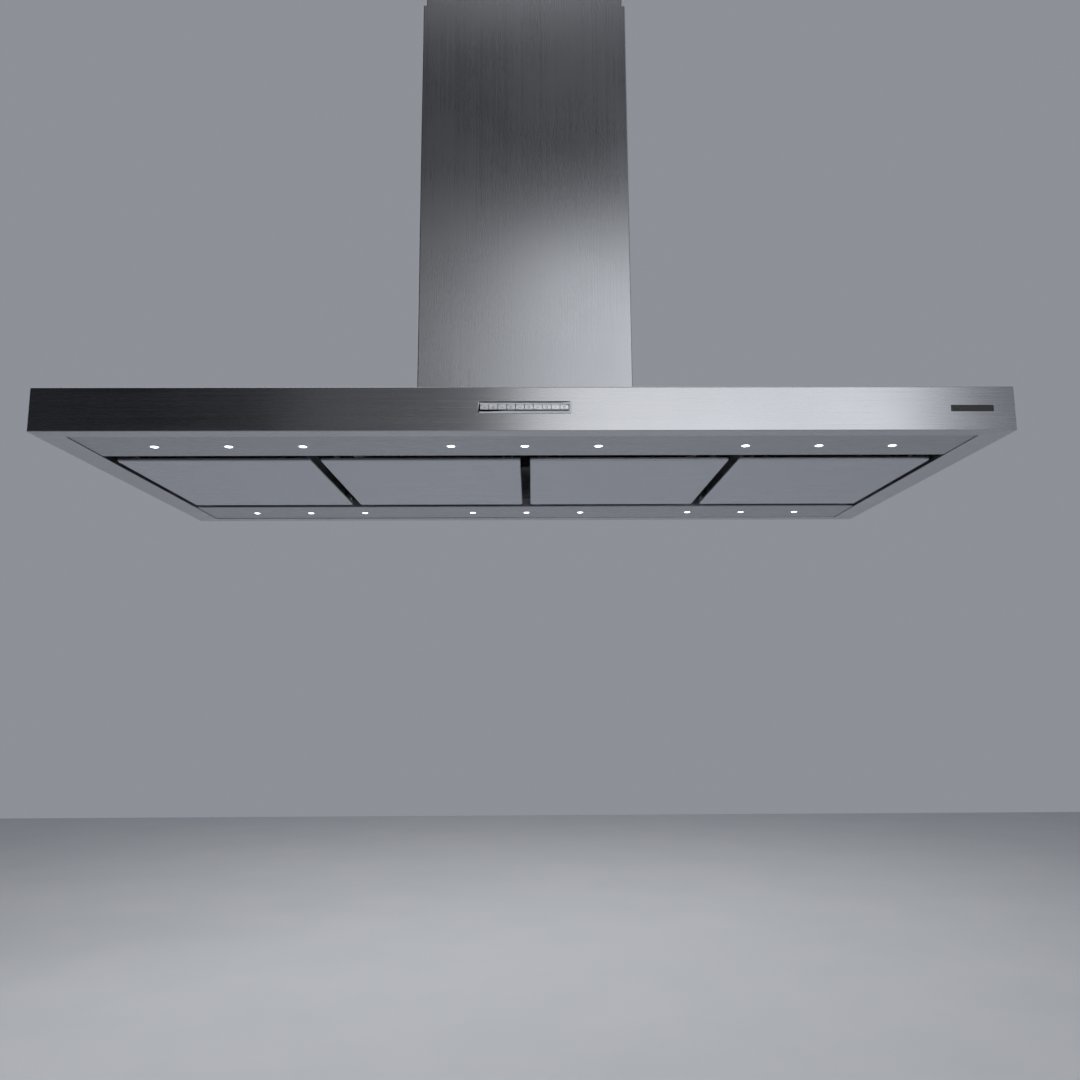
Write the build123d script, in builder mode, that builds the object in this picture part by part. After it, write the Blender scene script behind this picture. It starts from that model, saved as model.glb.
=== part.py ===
from build123d import *
import os
from math import cos, radians, sin

# Island range hood with a telescopic chimney, perimeter suction panels and a centrifugal blower.
# Units are millimetres. +Z is up, +X is to the right of the control side and -Y faces that side.
# The origin is the centre of the ceiling plate's top face, where the hood hangs.
# Heights are measured from the canopy's underside; up() turns them into Z.

# Overall size
HANG = 1000.0                # ceiling to the underside of the canopy
CANOPY_W = 1200.0
CANOPY_D = 600.0
CANOPY_H = 56.0
CHIMNEY = 300.0              # outer side of the square lower chimney
CHIMNEY_TOP = 696.0          # height of the lower chimney's top above the underside
OVERLAP = 60.0               # upper chimney inside the lower one at full height
TRAVEL = 150.0               # height adjustment, and how far the lower chimney lifts

# Sheet metal
SHEET = 1.2                  # canopy and light strips
CHIMNEY_SHEET = 1.0
UPPER_SHEET = 0.8
PANEL_SHEET = 1.0
BEND = 1.5                   # outside radius of a folded edge

# Underside layout
RIM_SIDE = 36.5              # folded rim at the left and right
RIM_FRONT = 23.0             # folded rim at the front and rear
LIP = 8.0                    # up-turned edge of the rim
STRIP_INNER = 178.0          # light strips end here, measured from the middle
STRIP_RECESS = 0.8
STRIP_END_GAP = 1.0
STRIP_RIM_GAP = 0.6
FRONT_FLANGE = 42.0          # height of the front strip's inner flange
REAR_FLANGE = 16.0

# LED spots
LED_PITCH = 95.0
LED_STEPS = (-5, -4, -3, -1, 0, 1, 3, 4, 5)
LED_Y = 227.0
LENS_R = 5.0
LED_BODY_R = 9.0
LED_BODY_H = 14.0

# Suction panels with their filters
PANEL_D = 304.0
PANEL_RETURN = 4.4
PANEL_LIMITS = ((-556.0, -292.5), (-279.5, -6.5), (6.5, 279.5), (292.5, 556.0))
PIVOT_Y = 156.0
PIVOT_H = 14.0
PIN_R = 2.0
FILTER_INSET = 12.0          # filter edge inside the panel edge
FILTER_FRONT = -172.0
FILTER_REAR = 142.0
FILTER_H = 16.0
FILTER_SHEET = 1.0
FILTER_EDGE = 12.0           # width of the frame seen from below
MESH_INSET = 1.2
RAIL_X = 32.0                # rail centre inside the panel edge
RAIL_W = 16.0

# Control cluster
KEYS = 10
KEY_PITCH = 10.8
KEY_W = 10.3
KEY_LOW = 26.6
KEY_HIGH = 36.6
KEY_PROUD = 1.6
BEZEL_W = 114.0
BEZEL_LOW = 22.0
BEZEL_HIGH = 37.5

# Ceiling mounting
PLATE_HALF = 144.8
PLATE_T = 3.0
PLATE_OPENING_R = 100.0
PLATE_FLANGE = 25.0
ANCHOR_HALF = 95.0
ANCHOR_R = 4.5
UPPER_POST_HALF = 138.0
POST_LEG = 30.0
POST_T = 2.0
POST_GAP = 0.4
UPPER_POST_LOW = 640.0
LOWER_POST_HIGH = 740.0
POST_BOLT_HEIGHTS = (660.0, 690.0)

# Blower
PLENUM_HALF = 120.0
PLENUM_TOP = 322.0
AXIS_X = -28.0
AXIS_H = 172.0
WHEEL_R = 72.0
BLADE_DEPTH = 12.0
WHEEL_HALF = 62.0
BLADES = 40
INLET_R = 58.0
VOLUTE_HALF = 71.5
VOLUTE_T = 1.5
VOLUTE_START = 83.5          # mean radius of the scroll's first quarter
VOLUTE_STEP = 9.0            # growth of the radius in each quarter
MOTOR_R = 40.0
SHAFT_R = 4.0

# Outlet
DUCT_R = 75.0
COLLAR_T = 1.2
COLLAR_H = 60.0
FLAP_R = 72.6
FLAP_PIN_R = 1.5
FLAP_PIN_H = 332.0
KNUCKLE_R = 3.2

RUN = 0.05                   # radial running clearance of pins and shafts

# Sizes that follow from the driving ones
RIM_X = CANOPY_W / 2 - RIM_SIDE
RIM_Y = CANOPY_D / 2 - RIM_FRONT
FASCIA_Y = -CANOPY_D / 2
UPPER_HALF = CHIMNEY / 2 - 4
LOWER_POST_HALF = UPPER_POST_HALF - POST_T - POST_GAP
POST_SCREW = 122.0
POST_BOLT_X = 120.0
FOOT_BOLT_X = 120.0
FOOT_BOLT_Y = LOWER_POST_HALF + 6.0
CHIMNEY_SCREW_Y = (-60.0, 60.0)
CHIMNEY_SCREW_H = HANG - 15.0
INTAKE_HALF = PLENUM_HALF - 8
STRIP_SCREW_X = (-520.0, -260.0, 0.0, 260.0, 520.0)
STRIP_SCREW_H = 5.6
TAB_INSET = 4.0
TAB_T = 1.5
EAR_INSET = 7.5
EAR_T = 1.5
BOARD_Y = FASCIA_Y + 13.0
MOTOR_REAR = 76.0
LEDGE_H = 329.0
FLAP_LOW = 330.3
BOX_X = (-116.0, -80.0)
BOX_Y = (-100.0, 100.0)
BOX_TOP = PLENUM_TOP + 40
GLAND_X = -98.0
GLAND_H = PLENUM_TOP + 20
LOOM_X = -98.0
LOOM_Y = -139.0
LOOM_H = PLENUM_TOP + 20
LOOM_R = 3.0
KNUCKLES = {
    -1: ((-60.0, -32.0), (4.0, 32.0)),
    1: ((-30.0, 2.0), (34.0, 60.0)),
}


def up(height):
    """Z of a height above the underside of the canopy."""
    return height - HANG


def block(xs, ys, heights, mode=Mode.ADD):
    """Adds or cuts a box given by its limits in X, in Y and in height."""
    zs = (up(heights[0]), up(heights[1]))
    with Locations((sum(xs) / 2, sum(ys) / 2, sum(zs) / 2)):
        Box(xs[1] - xs[0], ys[1] - ys[0], zs[1] - zs[0], mode=mode)


def rod(plane, radius, length, mode=Mode.ADD):
    """Adds or cuts a cylinder that starts on a plane and runs along its normal."""
    with Locations(plane):
        Cylinder(radius, length, align=(Align.CENTER, Align.CENTER, Align.MIN), mode=mode)


def hexagon(plane, radius, length):
    """Adds a hexagonal prism that starts on a plane and runs along its normal."""
    with BuildSketch(plane) as section:
        RegularPolygon(radius, 6)
    extrude(section.sketch, amount=length)


def facing(origin, direction):
    """Plane at a point (X, Y, height) with its normal along a direction."""
    return Plane(origin=(origin[0], origin[1], up(origin[2])), z_dir=direction)


def frame_ring(outer, inner, low, high):
    """Adds a rectangular ring; outer and inner are half sizes in X and Y."""
    with BuildSketch(Plane.XY.offset(up(low))) as section:
        Rectangle(2 * outer[0], 2 * outer[1])
        Rectangle(2 * inner[0], 2 * inner[1], mode=Mode.SUBTRACT)
    extrude(section.sketch, amount=high - low)


def write(part, node):
    """Labels a finished piece and writes its STEP file."""
    part.label = node
    export_step(part, f"parts/{node}.step")


# ---------------------------------------------------------------- ceiling mounting

def build_ceiling_plate():
    """Steel plate with turned-down flanges, a duct opening and the anchor holes."""
    flange_in = PLATE_HALF - 2.0
    low = HANG - PLATE_T - PLATE_FLANGE
    with BuildPart() as plate:
        block((-PLATE_HALF, PLATE_HALF), (-PLATE_HALF, PLATE_HALF), (HANG - PLATE_T, HANG))
        for side in (-1, 1):
            edge = sorted((side * flange_in, side * PLATE_HALF))
            block(edge, (-105, 105), (low, HANG - PLATE_T))
            block((-105, 105), edge, (low, HANG - PLATE_T))
        rod(facing((0, 0, HANG), (0, 0, -1)), PLATE_OPENING_R, PLATE_T, Mode.SUBTRACT)
        with GridLocations(2 * ANCHOR_HALF, 2 * ANCHOR_HALF, 2, 2):
            Hole(ANCHOR_R, depth=PLATE_T)
        with GridLocations(2 * POST_SCREW, 2 * POST_SCREW, 2, 2):
            CounterSinkHole(3.2, 6.2, depth=PLATE_T, counter_sink_angle=90)
        for x in (-PLATE_HALF, PLATE_HALF):
            for y in CHIMNEY_SCREW_Y:
                inward = (-1 if x > 0 else 1, 0, 0)
                rod(facing((x, y, CHIMNEY_SCREW_H), inward), 2.2, 3.0, Mode.SUBTRACT)
    return plate.part


def angle_posts(half, low, high):
    """Adds four upright angle sections whose outer corners stand at +-half."""
    for sx in (-1, 1):
        for sy in (-1, 1):
            long_x = sorted((sx * half, sx * (half - POST_LEG)))
            long_y = sorted((sy * half, sy * (half - POST_LEG)))
            block(long_x, sorted((sy * half, sy * (half - POST_T))), (low, high))
            block(sorted((sx * half, sx * (half - POST_T))), long_y, (low, high))


def build_upper_posts():
    """Four angle posts that hang from the ceiling plate by a turned-in tab."""
    top = HANG - PLATE_T
    with BuildPart() as posts:
        angle_posts(UPPER_POST_HALF, UPPER_POST_LOW, top)
        for sx in (-1, 1):
            for sy in (-1, 1):
                span_x = sorted((sx * UPPER_POST_HALF, sx * (UPPER_POST_HALF - POST_LEG)))
                span_y = sorted((sy * UPPER_POST_HALF, sy * (UPPER_POST_HALF - POST_LEG)))
                block(span_x, span_y, (top - POST_T, top))
                tab = facing((sx * POST_SCREW, sy * POST_SCREW, top), (0, 0, -1))
                rod(tab, 3.2, POST_T, Mode.SUBTRACT)
                for height in POST_BOLT_HEIGHTS:
                    start = (sx * POST_BOLT_X, sy * UPPER_POST_HALF, height)
                    rod(facing(start, (0, -sy, 0)), 3.1, POST_T, Mode.SUBTRACT)
    return posts.part


def square_tube(half, sheet, low, high, bend):
    """Adds a square sheet-metal tube with rounded corners."""
    with BuildSketch(Plane.XY.offset(up(low))) as section:
        RectangleRounded(2 * half, 2 * half, bend)
        RectangleRounded(2 * (half - sheet), 2 * (half - sheet), bend - sheet / 2, mode=Mode.SUBTRACT)
    extrude(section.sketch, amount=high - low)


def build_upper_chimney():
    """Upper cover, screwed to the ceiling plate's flanges."""
    with BuildPart() as cover:
        square_tube(UPPER_HALF, UPPER_SHEET, CHIMNEY_TOP - OVERLAP, HANG - 1.0, BEND)
        for x in (-UPPER_HALF, UPPER_HALF):
            for y in CHIMNEY_SCREW_Y:
                inward = (-1 if x > 0 else 1, 0, 0)
                rod(facing((x, y, CHIMNEY_SCREW_H), inward), 2.2, 1.5, Mode.SUBTRACT)
    return cover.part


def build_upper_chimney_screws():
    """Low-head screws through the upper cover into the plate's flanges."""
    with BuildPart() as screws:
        for side in (-1, 1):
            for y in CHIMNEY_SCREW_Y:
                face = side * UPPER_HALF
                rod(facing((face, y, CHIMNEY_SCREW_H), (side, 0, 0)), 4.0, 1.6)
                rod(facing((face, y, CHIMNEY_SCREW_H), (-side, 0, 0)), 2.0, 6.0)
    return screws.part


def build_ceiling_plate_screws():
    """Countersunk screws and nuts that join the upper posts to the ceiling plate."""
    tab_under = HANG - PLATE_T - POST_T
    with BuildPart() as screws:
        for sx in (-1, 1):
            for sy in (-1, 1):
                x = sx * POST_SCREW
                y = sy * POST_SCREW
                with Locations((x, y, up(HANG - 1.6))):
                    Cone(3.0, 6.0, 3.0)
                rod(facing((x, y, HANG - 2.5), (0, 0, -1)), 3.0, 10.0)
                hexagon(facing((x, y, tab_under), (0, 0, -1)), 5.6, 4.5)
    return screws.part


def build_post_bolts():
    """Bolts and nuts that clamp the lower posts' slots to the upper posts."""
    inner = LOWER_POST_HALF - POST_T - 0.3
    with BuildPart() as bolts:
        for sx in (-1, 1):
            for sy in (-1, 1):
                for height in POST_BOLT_HEIGHTS:
                    x = sx * POST_BOLT_X
                    outward = (0, sy, 0)
                    inward = (0, -sy, 0)
                    hexagon(facing((x, sy * UPPER_POST_HALF, height), outward), 5.6, 4.0)
                    rod(facing((x, sy * UPPER_POST_HALF, height), inward), 3.0, 14.0)
                    hexagon(facing((x, sy * inner, height), inward), 5.6, 5.0)
    return bolts.part


# ---------------------------------------------------------------- frame and covers

def build_lower_posts():
    """Four slotted angle posts that carry the canopy, with feet turned outwards."""
    slot_low = POST_BOLT_HEIGHTS[0] - TRAVEL
    slot_high = POST_BOLT_HEIGHTS[-1]
    slot_mid = (slot_low + slot_high) / 2
    with BuildPart() as posts:
        angle_posts(LOWER_POST_HALF, CANOPY_H, LOWER_POST_HIGH)
        for sx in (-1, 1):
            for sy in (-1, 1):
                span_x = sorted((sx * LOWER_POST_HALF, sx * (LOWER_POST_HALF - POST_LEG)))
                foot_y = sorted((sy * (LOWER_POST_HALF - POST_T), sy * (LOWER_POST_HALF + 12)))
                block(span_x, foot_y, (CANOPY_H, CANOPY_H + POST_T))
                foot = facing((sx * FOOT_BOLT_X, sy * FOOT_BOLT_Y, CANOPY_H + POST_T), (0, 0, -1))
                rod(foot, 3.2, POST_T, Mode.SUBTRACT)
                origin = (sx * POST_BOLT_X, sy * (LOWER_POST_HALF + 1), up(slot_mid))
                with BuildSketch(Plane(origin=origin, x_dir=(0, 0, 1), z_dir=(0, -sy, 0))):
                    SlotCenterToCenter(slot_high - slot_low, 2 * 3.4)
                extrude(amount=POST_T + 2, mode=Mode.SUBTRACT)
    return posts.part


def build_post_foot_bolts():
    """Bolts and nuts that fix the lower posts' feet to the canopy top."""
    with BuildPart() as bolts:
        for sx in (-1, 1):
            for sy in (-1, 1):
                x = sx * FOOT_BOLT_X
                y = sy * FOOT_BOLT_Y
                hexagon(facing((x, y, CANOPY_H + POST_T), (0, 0, 1)), 5.6, 4.0)
                rod(facing((x, y, CANOPY_H + POST_T), (0, 0, -1)), 3.0, 12.0)
                hexagon(facing((x, y, CANOPY_H - SHEET), (0, 0, -1)), 5.6, 5.0)
    return bolts.part


def build_lower_chimney():
    """Square cover that stands on the canopy, with a butt seam down its rear face."""
    half = CHIMNEY / 2
    with BuildPart() as cover:
        square_tube(half, CHIMNEY_SHEET, CANOPY_H, CHIMNEY_TOP, BEND)
        block((-0.2, 0.2), (half - 0.4, half + 1), (CANOPY_H - 1, CHIMNEY_TOP + 1), Mode.SUBTRACT)
    return cover.part


def build_canopy_shell():
    """Shallow box with a folded rim round its open underside."""
    half_w = CANOPY_W / 2
    half_d = CANOPY_D / 2
    with BuildPart() as shell:
        block((-half_w, half_w), (-half_d, half_d), (0, CANOPY_H))
        fillet(shell.edges(), BEND)
        block((-half_w + SHEET, half_w - SHEET), (-half_d + SHEET, half_d - SHEET),
              (SHEET, CANOPY_H - SHEET), Mode.SUBTRACT)
        block((-RIM_X, RIM_X), (-RIM_Y, RIM_Y), (-1, SHEET), Mode.SUBTRACT)
        frame_ring((RIM_X + SHEET, RIM_Y + SHEET), (RIM_X, RIM_Y), SHEET, SHEET + LIP)
        block((-INTAKE_HALF, INTAKE_HALF), (-INTAKE_HALF, INTAKE_HALF),
              (CANOPY_H - 2, CANOPY_H + 1), Mode.SUBTRACT)
        block((-BEZEL_W / 2 + 0.9, BEZEL_W / 2 - 0.9), (-half_d - 1, -half_d + 2),
              (BEZEL_LOW + 0.9, BEZEL_HIGH - 0.4), Mode.SUBTRACT)
        for sx in (-1, 1):
            for sy in (-1, 1):
                rod(facing((sx * FOOT_BOLT_X, sy * FOOT_BOLT_Y, CANOPY_H), (0, 0, -1)),
                    3.2, SHEET, Mode.SUBTRACT)
        rod(facing((LOOM_X, LOOM_Y, CANOPY_H), (0, 0, -1)), 5.0, SHEET, Mode.SUBTRACT)
        for x in STRIP_SCREW_X:
            for side in (-1, 1):
                rod(facing((x, side * RIM_Y, STRIP_SCREW_H), (0, side, 0)), 2.2, SHEET, Mode.SUBTRACT)
    return shell.part


def build_light_strip(side, flange):
    """Folded channel on one side (-1 front, 1 rear) with its row of lens holes."""
    length = RIM_X - STRIP_END_GAP
    outer = RIM_Y - STRIP_RIM_GAP
    top = STRIP_RECESS + SHEET
    with BuildPart() as strip:
        block((-length, length), sorted((side * STRIP_INNER, side * outer)), (STRIP_RECESS, top))
        block((-length, length), sorted((side * outer, side * (outer - SHEET))), (top, SHEET + LIP))
        block((-length, length), sorted((side * STRIP_INNER, side * (STRIP_INNER + SHEET))), (top, flange))
        fillet(strip.edges().filter_by(Axis.X).group_by(Axis.Z)[0], BEND)
        for step in LED_STEPS:
            spot = facing((step * LED_PITCH, side * LED_Y, top), (0, 0, -1))
            rod(spot, LENS_R + 0.2, SHEET, Mode.SUBTRACT)
        for x in STRIP_SCREW_X:
            rod(facing((x, side * outer, STRIP_SCREW_H), (0, -side, 0)), 2.2, SHEET, Mode.SUBTRACT)
    return strip.part


def build_light_strip_screws():
    """Screws and nuts that hold the light strips to the rim's up-turned edge."""
    inner = RIM_Y - STRIP_RIM_GAP - SHEET
    with BuildPart() as screws:
        for x in STRIP_SCREW_X:
            for side in (-1, 1):
                rod(facing((x, side * inner, STRIP_SCREW_H), (0, -side, 0)), 3.4, 2.2)
                rod(facing((x, side * inner, STRIP_SCREW_H), (0, side, 0)), 2.0, 7.5)
                hexagon(facing((x, side * (RIM_Y + SHEET), STRIP_SCREW_H), (0, side, 0)), 3.6, 2.6)
    return screws.part


def led_places():
    """Centres of all LED spots in X and Y."""
    return [(step * LED_PITCH, side * LED_Y) for side in (-1, 1) for step in LED_STEPS]


def build_led_lenses():
    """Round lenses that stand flush in the light strips."""
    with BuildPart() as lenses:
        for x, y in led_places():
            rod(facing((x, y, 0.5), (0, 0, 1)), LENS_R, 4.5)
        fillet(lenses.edges().group_by(Axis.Z)[0], 0.4)
    return lenses.part


def build_led_bodies():
    """Heat-sinking bodies that sit on the strips and hold the lenses."""
    seat = STRIP_RECESS + SHEET
    with BuildPart() as bodies:
        for x, y in led_places():
            rod(facing((x, y, seat), (0, 0, 1)), LED_BODY_R, LED_BODY_H)
            rod(facing((x, y, seat), (0, 0, 1)), LENS_R + 0.05, 3.0, Mode.SUBTRACT)
    return bodies.part


# ---------------------------------------------------------------- panels and filters

def build_panel(limits):
    """Shallow tray with two welded rails under the filter and two hinge ears."""
    low_x, high_x = limits
    half_d = PANEL_D / 2
    with BuildPart() as panel:
        block(limits, (-half_d, half_d), (0, PANEL_RETURN))
        fillet(panel.edges().filter_by(Axis.Z), BEND)
        fillet(panel.edges().group_by(Axis.Z)[0], PANEL_SHEET + 0.2)
        block((low_x + PANEL_SHEET, high_x - PANEL_SHEET), (-half_d + PANEL_SHEET, half_d - PANEL_SHEET),
              (PANEL_SHEET, PANEL_RETURN + 1), Mode.SUBTRACT)
        for centre in (low_x + RAIL_X, high_x - RAIL_X):
            outer = RAIL_W / 2
            inner = outer - PANEL_SHEET
            block((centre - outer, centre + outer), (-140, 130), (PANEL_SHEET, PIVOT_H))
            block((centre - inner, centre + inner), (-141, 131), (PANEL_SHEET, PIVOT_H - PANEL_SHEET), Mode.SUBTRACT)
        for edge, inward in ((low_x, 1), (high_x, -1)):
            start = edge + inward * EAR_INSET
            with BuildSketch(Plane(origin=(start, 0, 0), x_dir=(0, 1, 0), z_dir=(1, 0, 0))):
                Polygon((128, up(1)), (150.5, up(1)), (150.5, up(6)), (161, up(9)),
                        (161, up(19)), (146, up(19)), (128, up(10)), align=None)
            extrude(amount=inward * EAR_T)
            pin = facing((start - inward, PIVOT_Y, PIVOT_H), (inward, 0, 0))
            rod(pin, PIN_R, EAR_T + 2, Mode.SUBTRACT)
    return panel.part


def build_hinge_pins(limits):
    """Two stub pins fixed in the panel's ears."""
    with BuildPart() as pins:
        for edge, inward in ((limits[0], 1), (limits[1], -1)):
            start = facing((edge + inward * 2.5, PIVOT_Y, PIVOT_H), (inward, 0, 0))
            rod(start, PIN_R, EAR_INSET + EAR_T - 2.5 + 1.0)
    return pins.part


def build_filter(limits):
    """Grease filter: a channel frame round a thin mesh pack."""
    low_x = limits[0] + FILTER_INSET
    high_x = limits[1] - FILTER_INSET
    low = PIVOT_H
    high = PIVOT_H + FILTER_H

    def inset(by):
        """Limits in X and Y at a distance inside the frame's outer edge."""
        return (low_x + by, high_x - by), (FILTER_FRONT + by, FILTER_REAR - by)

    with BuildPart() as cassette:
        block(*inset(0), (low, high))
        block(*inset(FILTER_SHEET), (low + FILTER_SHEET, high - FILTER_SHEET), Mode.SUBTRACT)
        block(*inset(FILTER_EDGE), (low - 1, high + 1), Mode.SUBTRACT)
        block(*inset(MESH_INSET), (high - 4, high - MESH_INSET))
        block(*inset(MESH_INSET), (low + MESH_INSET, low + 3))
    return cassette.part


def build_hinge_brackets():
    """Angle brackets on the rear strip's flange that carry the panels' pins."""
    with BuildPart() as brackets:
        for limits in PANEL_LIMITS:
            for edge, inward in ((limits[0], 1), (limits[1], -1)):
                outer = edge + inward * TAB_INSET
                inner = outer + inward * TAB_T
                block(sorted((outer, inner)), (150, STRIP_INNER), (PIVOT_H - 3.5, PIVOT_H + 6))
                block(sorted((outer, inner + inward * 12)), (STRIP_INNER - 1.5, STRIP_INNER),
                      (5, REAR_FLANGE - 0.5))
                start = facing((outer - inward, PIVOT_Y, PIVOT_H), (inward, 0, 0))
                rod(start, PIN_R + RUN, TAB_T + 2, Mode.SUBTRACT)
    return brackets.part


def build_latch_magnets():
    """Magnets on the front strip's flange that hold the closed panels up."""
    low = PIVOT_H + FILTER_H + 0.3
    with BuildPart() as magnets:
        for limits in PANEL_LIMITS:
            for x in (limits[0] + 50, limits[1] - 50):
                block((x - 10, x + 10), (-STRIP_INNER, -STRIP_INNER + 14), (low, low + 8))
        fillet(magnets.edges().filter_by(Axis.Z), 1.0)
    return magnets.part


# ---------------------------------------------------------------- controls

def key_centres():
    """Centres of the keys in X, from left to right."""
    return [(index - (KEYS - 1) / 2) * KEY_PITCH for index in range(KEYS)]


def build_control_bezel():
    """Frame round the keys, with a guide wall behind them and two board posts."""
    half = BEZEL_W / 2
    mid = (KEY_LOW + KEY_HIGH) / 2
    with BuildPart() as bezel:
        block((-half, half), (FASCIA_Y - 0.8, FASCIA_Y), (BEZEL_LOW, BEZEL_HIGH))
        chamfer(bezel.faces().sort_by(Axis.Y)[0].edges(), 0.4)
        block((-half + 1, half - 1), (FASCIA_Y, FASCIA_Y + 5.5), (BEZEL_LOW + 1, BEZEL_HIGH - 0.5))
        block((-half + 2.4, half - 2.4), (FASCIA_Y - 1, FASCIA_Y + 4),
              (BEZEL_LOW + 2.4, BEZEL_HIGH - 0.6), Mode.SUBTRACT)
        for x in key_centres():
            block((x - 3, x + 3), (FASCIA_Y + 3, FASCIA_Y + 6), (mid - 3, mid + 3), Mode.SUBTRACT)
        for side in (-1, 1):
            block(sorted((side * 53.6, side * (half - 1))), (FASCIA_Y + 5.5, BOARD_Y), (mid - 3, mid + 3))
    return bezel.part


def build_control_board():
    """Circuit board with one push switch behind each key."""
    mid = (KEY_LOW + KEY_HIGH) / 2
    with BuildPart() as board:
        block((-BEZEL_W / 2, BEZEL_W / 2), (BOARD_Y, BOARD_Y + 1.6), (mid - 9, mid + 7))
        for x in key_centres():
            block((x - 3, x + 3), (BOARD_Y - 3, BOARD_Y), (mid - 3, mid + 3))
            rod(facing((x, BOARD_Y - 3, mid), (0, -1, 0)), 1.5, 0.3)
        block((-34, -14), (BOARD_Y + 1.6, BOARD_Y + 8), (mid - 8, mid - 1))
    return board.part


def build_key(x):
    """Key cap with a sloped upper half and a stem towards its switch."""
    mid = (KEY_LOW + KEY_HIGH) / 2
    back = FASCIA_Y + 2.4
    face = FASCIA_Y - KEY_PROUD
    with BuildPart() as key:
        with BuildSketch(Plane(origin=(x - KEY_W / 2, 0, 0), x_dir=(0, 1, 0), z_dir=(1, 0, 0))):
            Polygon((back, up(KEY_LOW)), (face + 0.3, up(KEY_LOW)), (face, up(KEY_LOW + 1)),
                    (face, up(mid)), (face + 1.5, up(KEY_HIGH)), (back, up(KEY_HIGH)), align=None)
        extrude(amount=KEY_W)
        fillet(key.edges().filter_by(Axis.Z).group_by(Axis.Y)[0], 0.3)
        block((x - 2.8, x + 2.8), (back, BOARD_Y - 4.6), (mid - 2.8, mid + 2.8))
    return key.part


def build_badge():
    """Plain blank plate at the right of the fascia."""
    with BuildPart() as badge:
        block((521, 573), (FASCIA_Y - 0.5, FASCIA_Y), (24, 32))
        fillet(badge.edges().filter_by(Axis.Y), 1.0)
    return badge.part


# ---------------------------------------------------------------- blower

def axis_plane(y, direction=1):
    """Plane across the blower's axis at a given Y, facing +Y or -Y."""
    return facing((AXIS_X, y, AXIS_H), (0, direction, 0))


def build_plenum_box():
    """Box over the intake, open below, that encloses the blower."""
    half = PLENUM_HALF
    with BuildPart() as plenum:
        block((-half, half), (-half, half), (CANOPY_H, PLENUM_TOP))
        fillet(plenum.edges().filter_by(Axis.Z), 3.0)
        block((-half + SHEET, half - SHEET), (-half + SHEET, half - SHEET),
              (CANOPY_H - 1, PLENUM_TOP - SHEET), Mode.SUBTRACT)
        frame_ring((half + 11, half + 11), (half - SHEET, half - SHEET), CANOPY_H, CANOPY_H + SHEET)
        rod(facing((0, 0, PLENUM_TOP), (0, 0, -1)), DUCT_R - 2, SHEET, Mode.SUBTRACT)
    return plenum.part


def volute_outline(grow):
    """Scroll outline in X and height: four quarter arcs of growing radius and the outlet neck.

    grow is added to every radius, so the same outline gives the outer and the inner wall.
    """
    step = VOLUTE_STEP
    radii = [VOLUTE_START + quarter * step + grow for quarter in range(4)]
    top = PLENUM_TOP - SHEET
    tongue = (AXIS_X, AXIS_H + radii[0])
    arcs = []
    corner = tongue
    for quarter, radius in enumerate(radii[:3]):
        start_angle = 90 + 90 * quarter
        begin_angle = radians(start_angle)
        end_angle = radians(start_angle + 90)
        centre = (corner[0] - radius * cos(begin_angle), corner[1] - radius * sin(begin_angle))
        arcs.append((centre, radius, start_angle))
        corner = (centre[0] + radius * cos(end_angle), centre[1] + radius * sin(end_angle))
    return tongue, arcs, corner, top


def volute_sketch(plane, grow):
    """Draws the closed scroll with its flared outlet on a plane across the axis."""
    tongue, arcs, end, top = volute_outline(grow)
    with BuildSketch(plane) as outline:
        with BuildLine():
            for centre, radius, start_angle in arcs:
                CenterArc((centre[0], up(centre[1])), radius, start_angle, 90)
            right = (end[0], up(top))
            left = (-DUCT_R - grow, up(top))
            Polyline((end[0], up(end[1])), right, left, (tongue[0], up(tongue[1])))
        make_face()
    return outline.sketch


def build_volute_half(side):
    """Front (-1) or rear (1) half of the scroll housing, split across the axis."""
    deep = VOLUTE_HALF
    plane = Plane(origin=(0, 0, 0), x_dir=(1, 0, 0), z_dir=(0, -1, 0))
    with BuildPart() as half:
        extrude(volute_sketch(plane, VOLUTE_T), amount=-side * deep)
        extrude(volute_sketch(plane, 0.0), amount=-side * (deep - VOLUTE_T), mode=Mode.SUBTRACT)
        neck = PLENUM_TOP - SHEET - VOLUTE_T
        opening = sorted((0, side * (deep - VOLUTE_T)))
        block((-DUCT_R + 1, end_x() - 1), opening, (neck - 3, neck + 4), Mode.SUBTRACT)
        rod(axis_plane(side * (deep + 1), -side), INLET_R, VOLUTE_T + 2, Mode.SUBTRACT)
    return half.part


def end_x():
    """X of the scroll's outlet wall."""
    return volute_outline(0.0)[2][0]


def build_inlet_rings():
    """Bell-mouth rings on the two inlets of the scroll."""
    with BuildPart() as rings:
        for side in (-1, 1):
            rod(axis_plane(side * VOLUTE_HALF, side), INLET_R + 9, 4.5)
            rod(axis_plane(side * (VOLUTE_HALF - 1), side), INLET_R, 6.5, Mode.SUBTRACT)
        fillet(rings.edges().filter_by(GeomType.CIRCLE).group_by(Axis.Y)[0], 2.0)
        fillet(rings.edges().filter_by(GeomType.CIRCLE).group_by(Axis.Y)[-1], 2.0)
    return rings.part


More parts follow.
